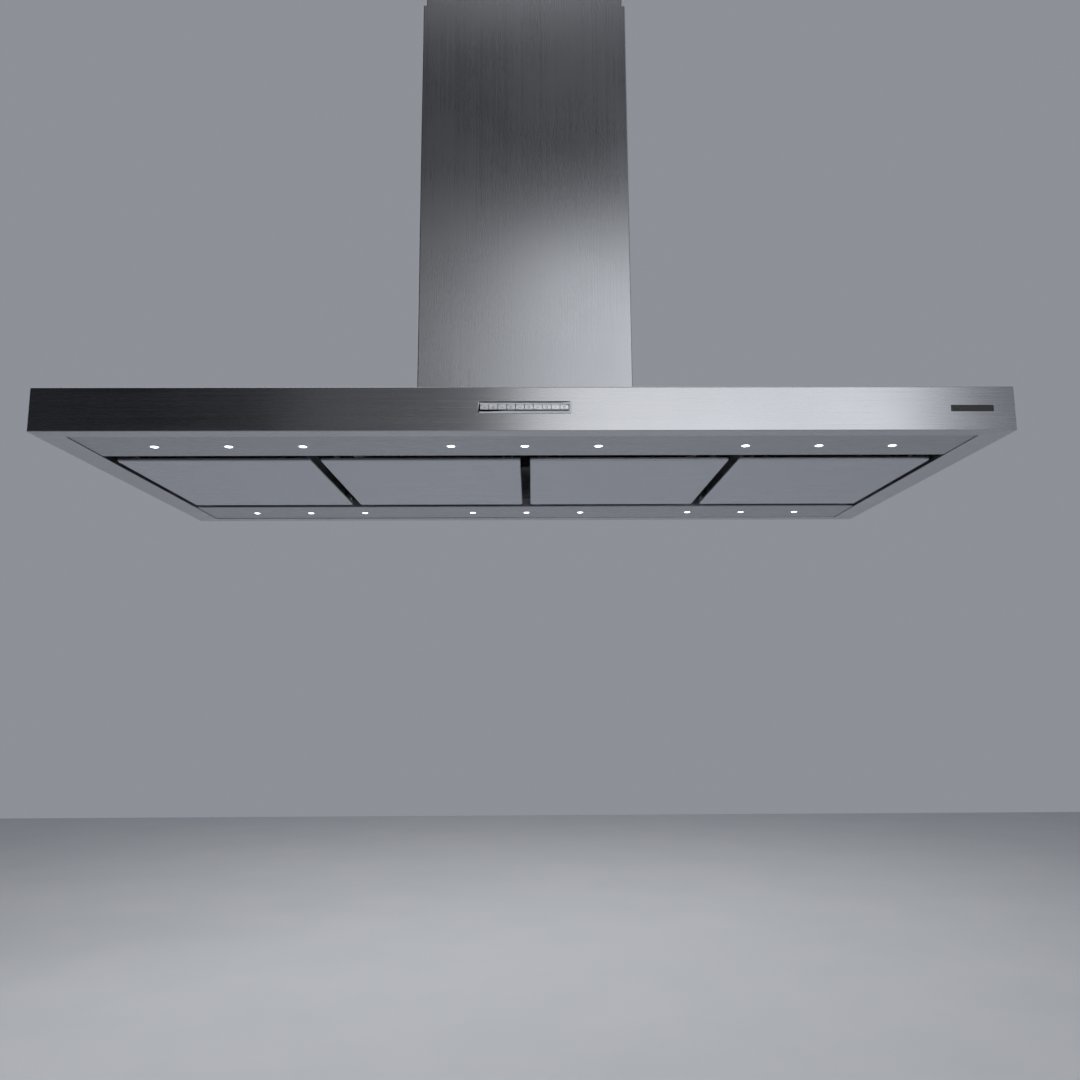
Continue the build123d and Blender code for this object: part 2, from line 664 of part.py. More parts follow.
def build_impeller():
    """Double-inlet wheel: a centre disc, two rims and a ring of blades."""
    blade_mid = WHEEL_R - BLADE_DEPTH / 2
    with BuildPart() as wheel:
        rod(axis_plane(-1.5), WHEEL_R - 1, 3.0)
        rod(axis_plane(-14), 12.0, 17.0)
        for side in (-1, 1):
            rod(axis_plane(side * WHEEL_HALF, -side), WHEEL_R, 3.0)
            rod(axis_plane(side * (WHEEL_HALF + 1), -side), WHEEL_R - BLADE_DEPTH, 5.0, Mode.SUBTRACT)
        with BuildSketch(axis_plane(-WHEEL_HALF)):
            with PolarLocations(blade_mid, BLADES):
                Rectangle(BLADE_DEPTH - 1, 1.2, rotation=35)
        extrude(amount=2 * WHEEL_HALF)
        rod(axis_plane(-20), SHAFT_R, 40.0, Mode.SUBTRACT)
    return wheel.part


def build_motor():
    """Motor body inside the wheel, bored for its shaft."""
    with BuildPart() as motor:
        rod(axis_plane(6), MOTOR_R, 70.0)
        fillet(motor.edges().filter_by(GeomType.CIRCLE), 4.0)
        rod(axis_plane(5), SHAFT_R + RUN + 0.01, 62.0, Mode.SUBTRACT)
    return motor.part


def build_motor_shaft():
    """Steel shaft from the motor to the wheel's hub."""
    with BuildPart() as shaft:
        rod(axis_plane(-18), SHAFT_R, 80.0)
        chamfer(shaft.edges().filter_by(GeomType.CIRCLE), 0.5)
    return shaft.part


def build_motor_bracket():
    """Three-armed spider that holds the motor to the rear wall of the scroll."""
    arm_r = INLET_R + 18
    with BuildPart() as spider:
        rod(axis_plane(MOTOR_REAR), MOTOR_R + 2, 3.0)
        for arm in range(3):
            turn = radians(90 + 120 * arm)
            out_x = AXIS_X + arm_r * cos(turn)
            out_h = AXIS_H + arm_r * sin(turn)
            plane = Plane(origin=(AXIS_X, MOTOR_REAR, up(AXIS_H)),
                          x_dir=(cos(turn), 0, sin(turn)), z_dir=(0, 1, 0))
            with BuildSketch(plane):
                with Locations((arm_r / 2, 0)):
                    Rectangle(arm_r, 14)
            extrude(amount=3.0)
            rod(facing((out_x, VOLUTE_HALF, out_h), (0, 1, 0)), 7.0, MOTOR_REAR + 3 - VOLUTE_HALF)
    return spider.part


def build_outlet_collar():
    """Round duct collar with a base flange and an inner ledge for the flaps."""
    inner = DUCT_R - COLLAR_T
    with BuildPart() as collar:
        rod(facing((0, 0, PLENUM_TOP), (0, 0, 1)), DUCT_R, COLLAR_H)
        rod(facing((0, 0, PLENUM_TOP), (0, 0, 1)), DUCT_R + 4, 1.5)
        rod(facing((0, 0, PLENUM_TOP), (0, 0, 1)), inner, COLLAR_H, Mode.SUBTRACT)
        rod(facing((0, 0, LEDGE_H), (0, 0, 1)), inner, 1.2)
        rod(facing((0, 0, LEDGE_H - 1), (0, 0, 1)), inner - 4, 4, Mode.SUBTRACT)
        rod(facing((0, -DUCT_R - 1, FLAP_PIN_H), (0, 1, 0)), FLAP_PIN_R, 2 * DUCT_R + 2, Mode.SUBTRACT)
    return collar.part


def build_damper_pin():
    """Pin across the collar that both flaps swing on."""
    with BuildPart() as pin:
        rod(facing((0, -DUCT_R + 0.2, FLAP_PIN_H), (0, 1, 0)), FLAP_PIN_R, 2 * DUCT_R - 0.4)
    return pin.part


def build_damper_flap(side, knuckles):
    """Half disc on the left (-1) or right (1) of the pin, with its knuckles."""
    reach = 2 * FLAP_R
    with BuildPart() as flap:
        rod(facing((0, 0, FLAP_LOW), (0, 0, 1)), FLAP_R, 1.0)
        other_half = sorted((side * 3.7, -side * reach))
        block(other_half, (-reach, reach), (FLAP_LOW - 1, FLAP_LOW + 2), Mode.SUBTRACT)
        for low, high in knuckles:
            rod(facing((0, low, FLAP_PIN_H), (0, 1, 0)), KNUCKLE_R, high - low)
            block(sorted((0, side * 4.5)), (low, high), (FLAP_LOW, FLAP_LOW + 1))
            rod(facing((0, low - 1, FLAP_PIN_H), (0, 1, 0)), FLAP_PIN_R + RUN, high - low + 2, Mode.SUBTRACT)
    return flap.part


# ---------------------------------------------------------------- electrics

def build_electronics_box():
    """Tray for the power board on top of the plenum box."""
    with BuildPart() as box:
        block(BOX_X, BOX_Y, (PLENUM_TOP, BOX_TOP))
        fillet(box.edges().filter_by(Axis.Z), 2.0)
        hollow = (PLENUM_TOP + 2, BOX_TOP + 1)
        block((BOX_X[0] + 2, BOX_X[1] - 2), (BOX_Y[0] + 2, BOX_Y[1] - 2), hollow, Mode.SUBTRACT)
        rod(facing((GLAND_X, BOX_Y[1] + 1, GLAND_H), (0, -1, 0)), 6.0, 4.0, Mode.SUBTRACT)
        rod(facing((LOOM_X, BOX_Y[0] - 1, LOOM_H), (0, 1, 0)), LOOM_R + 0.5, 4.0, Mode.SUBTRACT)
    return box.part


def build_electronics_lid():
    """Lid with a locating rib that closes the electronics box."""
    with BuildPart() as lid:
        block(BOX_X, BOX_Y, (BOX_TOP, BOX_TOP + 2))
        fillet(lid.edges().filter_by(Axis.Z), 2.0)
        block((BOX_X[0] + 2.3, BOX_X[1] - 2.3), (BOX_Y[0] + 2.3, BOX_Y[1] - 2.3), (BOX_TOP - 2, BOX_TOP))
    return lid.part


def build_cable_gland():
    """Gland for the supply cable in the end of the electronics box."""
    wall = BOX_Y[1]
    with BuildPart() as gland:
        rod(facing((GLAND_X, wall - 5, GLAND_H), (0, 1, 0)), 6.0, 5.0)
        hexagon(facing((GLAND_X, wall, GLAND_H), (0, 1, 0)), 9.0, 5.0)
        rod(facing((GLAND_X, wall + 5, GLAND_H), (0, 1, 0)), 7.5, 9.0)
        fillet(gland.faces().sort_by(Axis.Y)[-1].edges(), 2.5)
        rod(facing((GLAND_X, wall - 6, GLAND_H), (0, 1, 0)), 3.6, 22.0, Mode.SUBTRACT)
    return gland.part


def build_run_capacitor():
    """Motor capacitor lying on the plenum box in its saddle."""
    with BuildPart() as capacitor:
        rod(facing((106, -35, PLENUM_TOP + 17), (0, 1, 0)), 15.0, 62.0)
        fillet(capacitor.edges().filter_by(GeomType.CIRCLE), 1.5)
        block((96, 116), (-20, 12), (PLENUM_TOP, PLENUM_TOP + 10))
    return capacitor.part


def build_wiring_loom():
    """Sheathed loom from the electronics box down to the control board."""
    board_end = (-24, BOARD_Y + 8, (KEY_LOW + KEY_HIGH) / 2 - 4.5)
    points = [
        (LOOM_X, BOX_Y[0] + 4, up(LOOM_H)),
        (LOOM_X, LOOM_Y, up(LOOM_H)),
        (LOOM_X, LOOM_Y, up(48)),
        (LOOM_X + 10, -246, up(48)),
        (board_end[0], -246, up(board_end[2])),
        (board_end[0], board_end[1], up(board_end[2])),
    ]
    with BuildPart() as loom:
        with BuildLine() as path:
            FilletPolyline(*points, radius=[14, 5.5, 20, 12])
        with BuildSketch(Plane(origin=path.line @ 0, z_dir=path.line % 0)):
            Circle(LOOM_R)
        sweep(path=path.line)
    return loom.part


os.makedirs("parts", exist_ok=True)

write(build_ceiling_plate(), "ceiling_plate")
write(build_upper_posts(), "upper_posts")
write(build_upper_chimney(), "upper_chimney")
write(build_upper_chimney_screws(), "upper_chimney_screws")
write(build_ceiling_plate_screws(), "ceiling_plate_screws")
write(build_post_bolts(), "post_bolts")

write(build_lower_posts(), "lower_posts")
write(build_post_foot_bolts(), "post_foot_bolts")
write(build_lower_chimney(), "lower_chimney")
write(build_canopy_shell(), "canopy_shell")
write(build_light_strip(-1, FRONT_FLANGE), "front_light_strip")
write(build_light_strip(1, REAR_FLANGE), "rear_light_strip")
write(build_light_strip_screws(), "light_strip_screws")
write(build_led_lenses(), "led_lenses")
write(build_led_bodies(), "led_bodies")

for number, panel_limits in enumerate(PANEL_LIMITS, start=1):
    write(build_panel(panel_limits), f"panel_{number}")
    write(build_filter(panel_limits), f"filter_{number}")
    write(build_hinge_pins(panel_limits), f"hinge_pins_{number}")
write(build_hinge_brackets(), "hinge_brackets")
write(build_latch_magnets(), "latch_magnets")

write(build_control_bezel(), "control_bezel")
write(build_control_board(), "control_board")
for number, key_x in enumerate(key_centres(), start=1):
    write(build_key(key_x), f"key_{number}")
write(build_badge(), "blank_badge")

write(build_plenum_box(), "plenum_box")
write(build_volute_half(-1), "volute_front")
write(build_volute_half(1), "volute_rear")
write(build_inlet_rings(), "inlet_rings")
write(build_impeller(), "impeller")
write(build_motor(), "motor")
write(build_motor_shaft(), "motor_shaft")
write(build_motor_bracket(), "motor_bracket")
write(build_outlet_collar(), "outlet_collar")
write(build_damper_pin(), "damper_pin")
write(build_damper_flap(-1, KNUCKLES[-1]), "damper_flap_left")
write(build_damper_flap(1, KNUCKLES[1]), "damper_flap_right")

write(build_electronics_box(), "electronics_box")
write(build_electronics_lid(), "electronics_lid")
write(build_cable_gland(), "cable_gland")
write(build_run_capacitor(), "run_capacitor")
write(build_wiring_loom(), "wiring_loom")
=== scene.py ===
"""Looks of an island range hood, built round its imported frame.

Lengths are metres in the row frame: +Z up, -Y towards the keys, the origin on the ceiling.
Folded sheet parts are rings or profiles worked out as whole arrays and given their sheet
thickness; small turned parts are revolved profiles; the rest keeps its frame mesh and gets
the finish of its real material.
"""

import logging
import math
from dataclasses import dataclass
from enum import Enum
from typing import Any, Iterable, Sequence

import bmesh
import bpy
import numpy as np
from mathutils import Euler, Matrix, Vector


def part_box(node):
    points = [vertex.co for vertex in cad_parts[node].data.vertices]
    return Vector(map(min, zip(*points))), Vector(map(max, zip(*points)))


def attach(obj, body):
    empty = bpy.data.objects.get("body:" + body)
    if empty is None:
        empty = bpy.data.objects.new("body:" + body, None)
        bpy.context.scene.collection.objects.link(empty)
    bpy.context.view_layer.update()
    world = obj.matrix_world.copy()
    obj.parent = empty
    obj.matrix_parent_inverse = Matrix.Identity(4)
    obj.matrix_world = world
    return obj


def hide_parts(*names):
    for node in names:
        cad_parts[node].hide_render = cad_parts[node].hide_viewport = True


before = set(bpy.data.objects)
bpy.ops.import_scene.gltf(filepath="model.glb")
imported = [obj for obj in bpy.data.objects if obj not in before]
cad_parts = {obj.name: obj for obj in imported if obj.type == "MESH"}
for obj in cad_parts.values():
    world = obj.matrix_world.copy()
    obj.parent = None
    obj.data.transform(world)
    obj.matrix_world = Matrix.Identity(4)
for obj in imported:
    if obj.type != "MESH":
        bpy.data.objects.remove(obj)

LOG = logging.getLogger("range_hood")
MM = 0.001
GRAIN_MAP = "grain"         # UV map in metres whose U runs along the brushing
CORNER_STEPS = 6            # spans in the arc of an upright corner
SHARP = 0.1 * MM            # radius of a corner that is cut, not folded
MARK_PROUD = 0.02 * MM      # how far print stands off the surface under it


# ------------------------------------------------------------------ colours and nodes

def linear(hex_colour: str) -> tuple[float, float, float, float]:
    """Turns an sRGB hex colour into linear RGBA.

    Args:
        hex_colour: Six hex digits after a hash sign.

    Returns:
        Red, green and blue by the sRGB curve, with alpha 1.
    """
    channels = [int(hex_colour[i:i + 2], 16) / 255 for i in (1, 3, 5)]
    curve = [c / 12.92 if c <= 0.04045 else ((c + 0.055) / 1.055) ** 2.4 for c in channels]
    return (*curve, 1.0)


def add_node(tree: bpy.types.NodeTree, kind: str, inputs: dict | None = None,
             stops: Sequence[tuple[float, str]] = (), **settings: Any) -> bpy.types.Node:
    """Adds one node with its settings, socket values and links.

    Args:
        tree: Node tree that gets the node.
        kind: Type name of the node.
        inputs: Socket name or number to a value, or to an output socket to link from.
        stops: Place and hex colour of each stop of a colour ramp, in rising order.
        settings: Properties of the node itself.

    Returns:
        The new node.
    """
    node = tree.nodes.new(kind)
    for name, value in settings.items():
        setattr(node, name, value)
    for _ in stops[2:]:
        node.color_ramp.elements.new(1.0)
    for number, (place, colour) in enumerate(stops):
        node.color_ramp.elements[number].position = place
        node.color_ramp.elements[number].color = linear(colour)
    for name, value in (inputs or {}).items():
        if isinstance(value, bpy.types.NodeSocket):
            tree.links.new(value, node.inputs[name])
        else:
            node.inputs[name].default_value = value
    return node


# ------------------------------------------------------------------ finishes

@dataclass(frozen=True)
class Finish:
    """A finish: what it feeds into the sockets of one Principled shader."""

    name: str

    def sockets(self, tree: bpy.types.NodeTree) -> dict[str, Any]:
        """Adds the nodes of the finish.

        Args:
            tree: Node tree of the material.

        Returns:
            Value or output socket for each input of the shader.
        """
        raise NotImplementedError

    def build(self) -> bpy.types.Material:
        """Makes the material.

        Returns:
            The material, with the shader on its output.
        """
        material = bpy.data.materials.new(self.name)
        material.use_nodes = True
        tree = material.node_tree
        tree.nodes.clear()
        shader = add_node(tree, "ShaderNodeBsdfPrincipled", self.sockets(tree))
        add_node(tree, "ShaderNodeOutputMaterial", {"Surface": shader.outputs["BSDF"]})
        return material


@dataclass(frozen=True)
class BrushedStainless(Finish):
    """Stainless sheet brushed one way: long fine scratches that stretch every reflection across them."""

    colour: str
    roughness: float
    streak_length: float = 0.30
    streak_width: float = 1.3 * MM      # real scratches are 0.1 mm apart, drawn coarser so that they show
    relief: float = 0.004 * MM
    contrast: float = 0.06
    anisotropy: float = 0.75
    grime: float = 0.02

    def sockets(self, tree: bpy.types.NodeTree) -> dict[str, Any]:
        """Draws the scratches on the grain map, whose U runs along them, in metres.

        Args:
            tree: Node tree of the material.

        Returns:
            Inputs of the shader.
        """
        uv = add_node(tree, "ShaderNodeUVMap", uv_map=GRAIN_MAP)
        stretch = add_node(tree, "ShaderNodeMapping", {
            "Vector": uv.outputs["UV"],
            "Scale": (1 / self.streak_length, 1 / self.streak_width, 1.0)})
        streaks = add_node(tree, "ShaderNodeTexNoise", {
            "Vector": stretch.outputs["Vector"], "Scale": 1.0, "Detail": 4.0, "Roughness": 0.65})
        place = add_node(tree, "ShaderNodeTexCoord")
        clouds = add_node(tree, "ShaderNodeTexNoise", {
            "Vector": place.outputs["Object"], "Scale": 5.0, "Detail": 3.0, "Roughness": 0.55})
        gloss = add_node(tree, "ShaderNodeMapRange", {
            "Value": streaks.outputs["Fac"], "From Min": 0.3, "From Max": 0.7,
            "To Min": self.roughness - self.contrast / 2, "To Max": self.roughness + self.contrast / 2})
        smear = add_node(tree, "ShaderNodeMapRange", {
            "Value": clouds.outputs["Fac"], "From Min": 0.35, "From Max": 0.7,
            "To Min": -self.grime, "To Max": self.grime})
        rough = add_node(tree, "ShaderNodeMath", {0: gloss.outputs[0], 1: smear.outputs[0]}, operation="ADD")
        tone = add_node(tree, "ShaderNodeMapRange", {
            "Value": streaks.outputs["Fac"], "From Min": 0.3, "From Max": 0.7,
            "To Min": 1.0 - self.contrast, "To Max": 1.0 + self.contrast / 2})
        colour = add_node(tree, "ShaderNodeMix", {
            0: 1.0, 6: linear(self.colour), 7: tone.outputs[0]}, data_type="RGBA", blend_type="MULTIPLY")
        bump = add_node(tree, "ShaderNodeBump", {
            "Height": streaks.outputs["Fac"], "Strength": 0.3, "Distance": self.relief})
        tangent = add_node(tree, "ShaderNodeTangent", direction_type="UV_MAP", uv_map=GRAIN_MAP)
        return {"Base Color": colour.outputs[2], "Roughness": rough.outputs[0], "Metallic": 1.0,
                "Anisotropic": self.anisotropy, "Anisotropic Rotation": 0.25,
                "Normal": bump.outputs["Normal"], "Tangent": tangent.outputs["Tangent"]}


@dataclass(frozen=True)
class Metal(Finish):
    """Bare or plated metal: one tone with a soft mottle in tone and gloss."""

    dark: str
    light: str
    roughness: float
    cell: float                 # size of the mottle
    flakes: bool = False        # zinc spangle has flat crystals, other metals a soft cloud

    def sockets(self, tree: bpy.types.NodeTree) -> dict[str, Any]:
        """Draws the mottle on Object coordinates.

        Args:
            tree: Node tree of the material.

        Returns:
            Inputs of the shader.
        """
        place = add_node(tree, "ShaderNodeTexCoord")
        kind = "ShaderNodeTexVoronoi" if self.flakes else "ShaderNodeTexNoise"
        mottle = add_node(tree, kind, {"Vector": place.outputs["Object"], "Scale": 1 / self.cell})
        factor = mottle.outputs["Color"] if self.flakes else mottle.outputs["Fac"]
        grey = add_node(tree, "ShaderNodeRGBToBW", {"Color": factor})
        colour = add_node(tree, "ShaderNodeValToRGB", {"Fac": grey.outputs["Val"]},
                          stops=((0.2, self.dark), (0.8, self.light)))
        rough = add_node(tree, "ShaderNodeMapRange", {
            "Value": grey.outputs["Val"], "To Min": self.roughness - 0.06, "To Max": self.roughness + 0.08})
        return {"Base Color": colour.outputs["Color"], "Roughness": rough.outputs[0], "Metallic": 1.0}


@dataclass(frozen=True)
class Moulded(Finish):
    """Moulded plastic, rubber or enamel: a fine pebbled skin with faint wear in its gloss."""

    colour: str
    worn: str
    roughness: float
    pebble: float = 0.6 * MM
    relief: float = 0.02 * MM
    coat: float = 0.0

    def sockets(self, tree: bpy.types.NodeTree) -> dict[str, Any]:
        """Draws the pebble and the wear on Object coordinates.

        Args:
            tree: Node tree of the material.

        Returns:
            Inputs of the shader.
        """
        place = add_node(tree, "ShaderNodeTexCoord")
        skin = add_node(tree, "ShaderNodeTexNoise", {
            "Vector": place.outputs["Object"], "Scale": 1 / self.pebble, "Detail": 2.0})
        patches = add_node(tree, "ShaderNodeTexNoise", {
            "Vector": place.outputs["Object"], "Scale": 18.0, "Detail": 4.0})
        colour = add_node(tree, "ShaderNodeValToRGB", {"Fac": patches.outputs["Fac"]},
                          stops=((0.35, self.colour), (0.75, self.worn)))
        rough = add_node(tree, "ShaderNodeMapRange", {
            "Value": patches.outputs["Fac"], "From Min": 0.3, "From Max": 0.7,
            "To Min": self.roughness - 0.05, "To Max": self.roughness + 0.08})
        bump = add_node(tree, "ShaderNodeBump", {
            "Height": skin.outputs["Fac"], "Strength": 0.5, "Distance": self.relief})
        return {"Base Color": colour.outputs["Color"], "Roughness": rough.outputs[0],
                "Normal": bump.outputs["Normal"], "Coat Weight": self.coat}


@dataclass(frozen=True)
class LitLens(Finish):
    """Frosted lens over a lit LED: white hot in the middle, with ring-shaped prisms round it."""

    colour: str
    strength: float

    def sockets(self, tree: bpy.types.NodeTree) -> dict[str, Any]:
        """Draws the prisms on the lens's own UV map, whose U is the distance from its middle.

        Args:
            tree: Node tree of the material.

        Returns:
            Inputs of the shader.
        """
        uv = add_node(tree, "ShaderNodeUVMap", uv_map=GRAIN_MAP)
        radius = add_node(tree, "ShaderNodeSeparateXYZ", {"Vector": uv.outputs["UV"]})
        rings = add_node(tree, "ShaderNodeMath", {0: radius.outputs["X"], 1: 40.0}, operation="MULTIPLY")
        prism = add_node(tree, "ShaderNodeMath", {0: rings.outputs[0]}, operation="SINE")
        bump = add_node(tree, "ShaderNodeBump", {
            "Height": prism.outputs[0], "Strength": 0.4, "Distance": 0.1 * MM})
        glow = add_node(tree, "ShaderNodeValToRGB", {"Fac": radius.outputs["X"]},
                        stops=((0.0, "#ffffff"), (0.55, "#f9faff"), (0.95, "#aeb2bb")))
        return {"Base Color": linear(self.colour), "Roughness": 0.25, "Normal": bump.outputs["Normal"],
                "Emission Color": glow.outputs["Color"], "Emission Strength": self.strength}


@dataclass(frozen=True)
class MattPaint(Finish):
    """Matt paint: one tone with broad, faint clouds."""

    dark: str
    light: str
    roughness: float

    def sockets(self, tree: bpy.types.NodeTree) -> dict[str, Any]:
        """Draws the clouds on Object coordinates.

        Args:
            tree: Node tree of the material.

        Returns:
            Inputs of the shader.
        """
        place = add_node(tree, "ShaderNodeTexCoord")
        noise = add_node(tree, "ShaderNodeTexNoise", {
            "Vector": place.outputs["Object"], "Scale": 2.0, "Detail": 5.0})
        colour = add_node(tree, "ShaderNodeValToRGB", {"Fac": noise.outputs["Fac"]},
                          stops=((0.3, self.dark), (0.7, self.light)))
        return {"Base Color": colour.outputs["Color"], "Roughness": self.roughness}


# Stainless sheet, brushed lengthwise: lights smear into upright columns, dark where the room is dark.
STAINLESS_FLAT = BrushedStainless("stainless_canopy", "#bfc1c6", 0.26)
# The same sheet with painted shade: its colour is made a shade darker for the folded strips under the canopy
# that face the floor.
STAINLESS_STRIP_PAINTED_SHADE = BrushedStainless("stainless_strips_painted_shade", "#adb0b6", 0.28)
# Panel sheet with a softer brush: an even pale sheen with hardly any reflected edges.
STAINLESS_PANEL = BrushedStainless("stainless_panels", "#c3c6cd", 0.30)
# Chimney sheet, brushed upright: long quiet streaks that smear lights into level bands.
STAINLESS_COVER = BrushedStainless(
    "stainless_chimney", "#bcbfc5", 0.28, streak_length=0.7, relief=0.0012 * MM, contrast=0.04,
    anisotropy=0.6)
# Hot-dip galvanised sheet: flat zinc crystals, each with its own grey, dull between them.
GALVANISED = Metal("galvanised_sheet", "#8b9093", "#b4b8ba", 0.42, 11 * MM, flakes=True)
# Zinc plating on screws, pins and shafts: bright, slightly cloudy silver.
ZINC_PLATE = Metal("zinc_plated_steel", "#a8abad", "#c9ccce", 0.28, 4 * MM)
# Satin chrome on plastic keys: cool and bright, with soft highlights along the edges.
CHROME_KEYS = Metal("satin_chrome", "#d6d9df", "#e8ebf0", 0.30, 9 * MM)
# The keys' frame in the same plating, worn a little duller.
CHROME_FRAME = Metal("satin_chrome_frame", "#cfd2d8", "#e0e3e8", 0.42, 9 * MM)
# Pad-printed ink: flat dark grey with no shine.
MARK_PRINT = Moulded("key_mark_print", "#2c2e33", "#383a40", 0.5)
# Die-cast aluminium: dull grey with a fine cast grain.
CAST_ALUMINIUM = Metal("die_cast_aluminium", "#a5a7aa", "#c4c6c8", 0.48, 2 * MM)
# Rolled and slit aluminium: pale strands that glint at the crests.
MESH_ALUMINIUM = Metal("expanded_aluminium", "#b6b9bc", "#dcdee0", 0.33, 6 * MM)
# Moulded polypropylene: waxy dark grey with a faint pebble.
BLOWER_PP = Moulded("polypropylene_moulded", "#232427", "#2d2e31", 0.5)
# Moulded ABS: near black, a little glossier than the blower.
COLLAR_ABS = Moulded("abs_black_moulded", "#17181a", "#212225", 0.42)
# Moulded light grey ABS: even, matt, faintly textured.
BOX_ABS = Moulded("abs_grey_moulded", "#a3a5a7", "#b2b4b5", 0.5)
# Stoved enamel on the motor's can: black under a thin clear gloss with orange peel.
MOTOR_ENAMEL = Moulded("motor_enamel", "#1b1c1e", "#26272a", 0.32, relief=0.03 * MM, coat=0.3)
# Glass-filled nylon: matt charcoal with a dry grain.
MAGNET_SHELL = Moulded("magnet_housing_nylon", "#1c1d1f", "#26272a", 0.55)
# Dark anodised aluminium plate, left blank: a flat charcoal patch with a faint sheen.
BADGE_PLATE = Moulded("badge_dark_anodised", "#2b2c31", "#37383d", 0.3)
# Solder-masked glass epoxy: deep green under a clear gloss.
BOARD_EPOXY = Moulded("glass_epoxy_board", "#0d3b1f", "#145028", 0.35, coat=0.4)
# Moulded polypropylene can: warm off-white, smooth.
CAPACITOR_CAN = Moulded("polypropylene_can", "#dcdbd4", "#e8e7e1", 0.4)
# Extruded PVC sheath: black and matt, with light scuffs.
LOOM_SHEATH = Moulded("pvc_sheath", "#141415", "#1e1e20", 0.5)
# Frosted lens in front of a lit LED: white hot in the middle, softer at its rim.
LED_GLOW = LitLens("led_lens_lit", "#f4f7ff", 9.0)
# Matt floor paint: pale grey with no shine, so that only soft light comes back from below.
FLOOR_PAINT = MattPaint("floor_matt_paint", "#d6d8db", "#dbdcdf", 0.85)


class Wardrobe:
    """Keeps one material for each finish, so that pieces of one finish share it."""

    def __init__(self) -> None:
        """Starts with no materials."""
        self.made: dict[str, bpy.types.Material] = {}

    def dress(self, piece: bpy.types.Object, finish: Finish) -> None:
        """Puts a finish on every material slot of a piece.

        Args:
            piece: Piece that gets it.
            finish: The finish; its material is made at its first use.
        """
        if finish.name not in self.made:
            self.made[finish.name] = finish.build()
        material = self.made[finish.name]
        if not piece.material_slots:
            piece.data.materials.append(material)
        for slot in piece.material_slots:
            slot.material = material


# ------------------------------------------------------------------ surfaces

class Grain(Enum):
    """Which way the brushing runs on a folded part."""

    LENGTHWISE = "along the first level axis of each face"
    UPRIGHT = "up and down"
    ROUND_RIM = "lengthwise, but along the nearest edge on the level faces below"


def add_object(name: str, data: bpy.types.ID) -> bpy.types.Object:
    """Puts a mesh, a light or a camera into the scene.

    Args:
        name: Name of the new object.
        data: What it shows.

    Returns:
        The new object, at the origin.
    """
    item = bpy.data.objects.new(name, data)
    bpy.context.scene.collection.objects.link(item)
    return item


def read(items: Any, attribute: str, width: int = 1, kind: type = float) -> np.ndarray:
    """Reads one attribute of all vertices, corners or faces of a mesh at once.

    Args:
        items: The mesh's vertices, loops or polygons.
        attribute: Name of the attribute.
        width: Numbers in each value.
        kind: Type of the numbers.

    Returns:
        One row, or one number where the width is 1, for each item.
    """
    values = np.empty(len(items) * width, kind)
    items.foreach_get(attribute, values)
    return values.reshape(-1, width) if width > 1 else values


def centre_of(node: str) -> Vector:
    """Gives the middle of a frame node's box."""
    low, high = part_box(node)
    return (low + high) / 2


def ring(half_x: float, half_y: float, radius: float, stops: Sequence[tuple[int, float]] = (),
         steps: int = CORNER_STEPS) -> np.ndarray:
    """Points of a rounded rectangle, anticlockwise from its front right corner.

    Each corner is a quarter circle about a point one radius inside the rectangle's corner.

    Args:
        half_x: Half its width.
        half_y: Half its depth.
        radius: Corner radius.
        stops: Extra points on straight sides, as (side, X), side -1 the front and 1 the rear.
        steps: Spans in each corner's arc.

    Returns:
        Array of X and Y, one row for each point.
    """
    turns = np.radians(np.linspace(0, 90, steps + 1))
    parts = []
    for corner, (sx, sy) in enumerate(((1, -1), (1, 1), (-1, 1), (-1, -1))):
        angles = turns + math.radians(-90 + 90 * corner)
        arc = np.stack([np.cos(angles), np.sin(angles)], axis=1) * radius
        parts.append(arc + (sx * (half_x - radius), sy * (half_y - radius)))
        side = {1: 1, 3: -1}.get(corner)
        marks = sorted((x for s, x in stops if s == side), reverse=side == 1)
        if marks:
            parts.append(np.array([(x, side * half_y) for x in marks]))
    return np.concatenate(parts)


def stack_rings(levels: Sequence[tuple[float, float, float, float]], centre: Sequence[float] = (0.0, 0.0),
                stops: Sequence[tuple[int, float]] = ()) -> np.ndarray:
    """Grid of points whose rows are rounded rectangles at given heights.

    Args:
        levels: Half width, half depth, corner radius and Z of each row.
        centre: X and Y of the rectangles' middle.
        stops: Extra points on straight sides, as ring() takes them.

    Returns:
        Array of rows, points and XYZ.
    """
    rows = []
    for half_x, half_y, radius, z in levels:
        outline = ring(half_x, half_y, radius, stops) + np.asarray(centre)
        rows.append(np.column_stack([outline, np.full(len(outline), z)]))
    return np.array(rows)


def quarter_bend(half: Sequence[float], z: float, radius: float, downwards: bool,
                 steps: int = 5) -> list[tuple[float, float, float, float]]:
    """Rows of a fold between a level face and an upright face of a rounded rectangle.

    The fold is a quarter circle: its middle lies one radius inside and one radius above or below.

    Args:
        half: Half width and half depth of the upright face.
        z: Height of the level face.
        radius: Outside radius of the fold.
        downwards: True where the level face is on top, so that the rows run down.
        steps: Spans in the arc.

    Returns:
        Levels for stack_rings, from the level face to the upright one, or back for a fold below.
    """
    turn = np.radians(np.linspace(0, 90, steps + 1))
    inset = radius * (1 - np.sin(turn))
    rise = radius * (1 - np.cos(turn))
    sign = -1 if downwards else 1
    rows = [(half[0] - i, half[1] - i, max(radius - i, SHARP), z + sign * r) for i, r in zip(inset, rise)]
    return rows if downwards else rows[::-1]


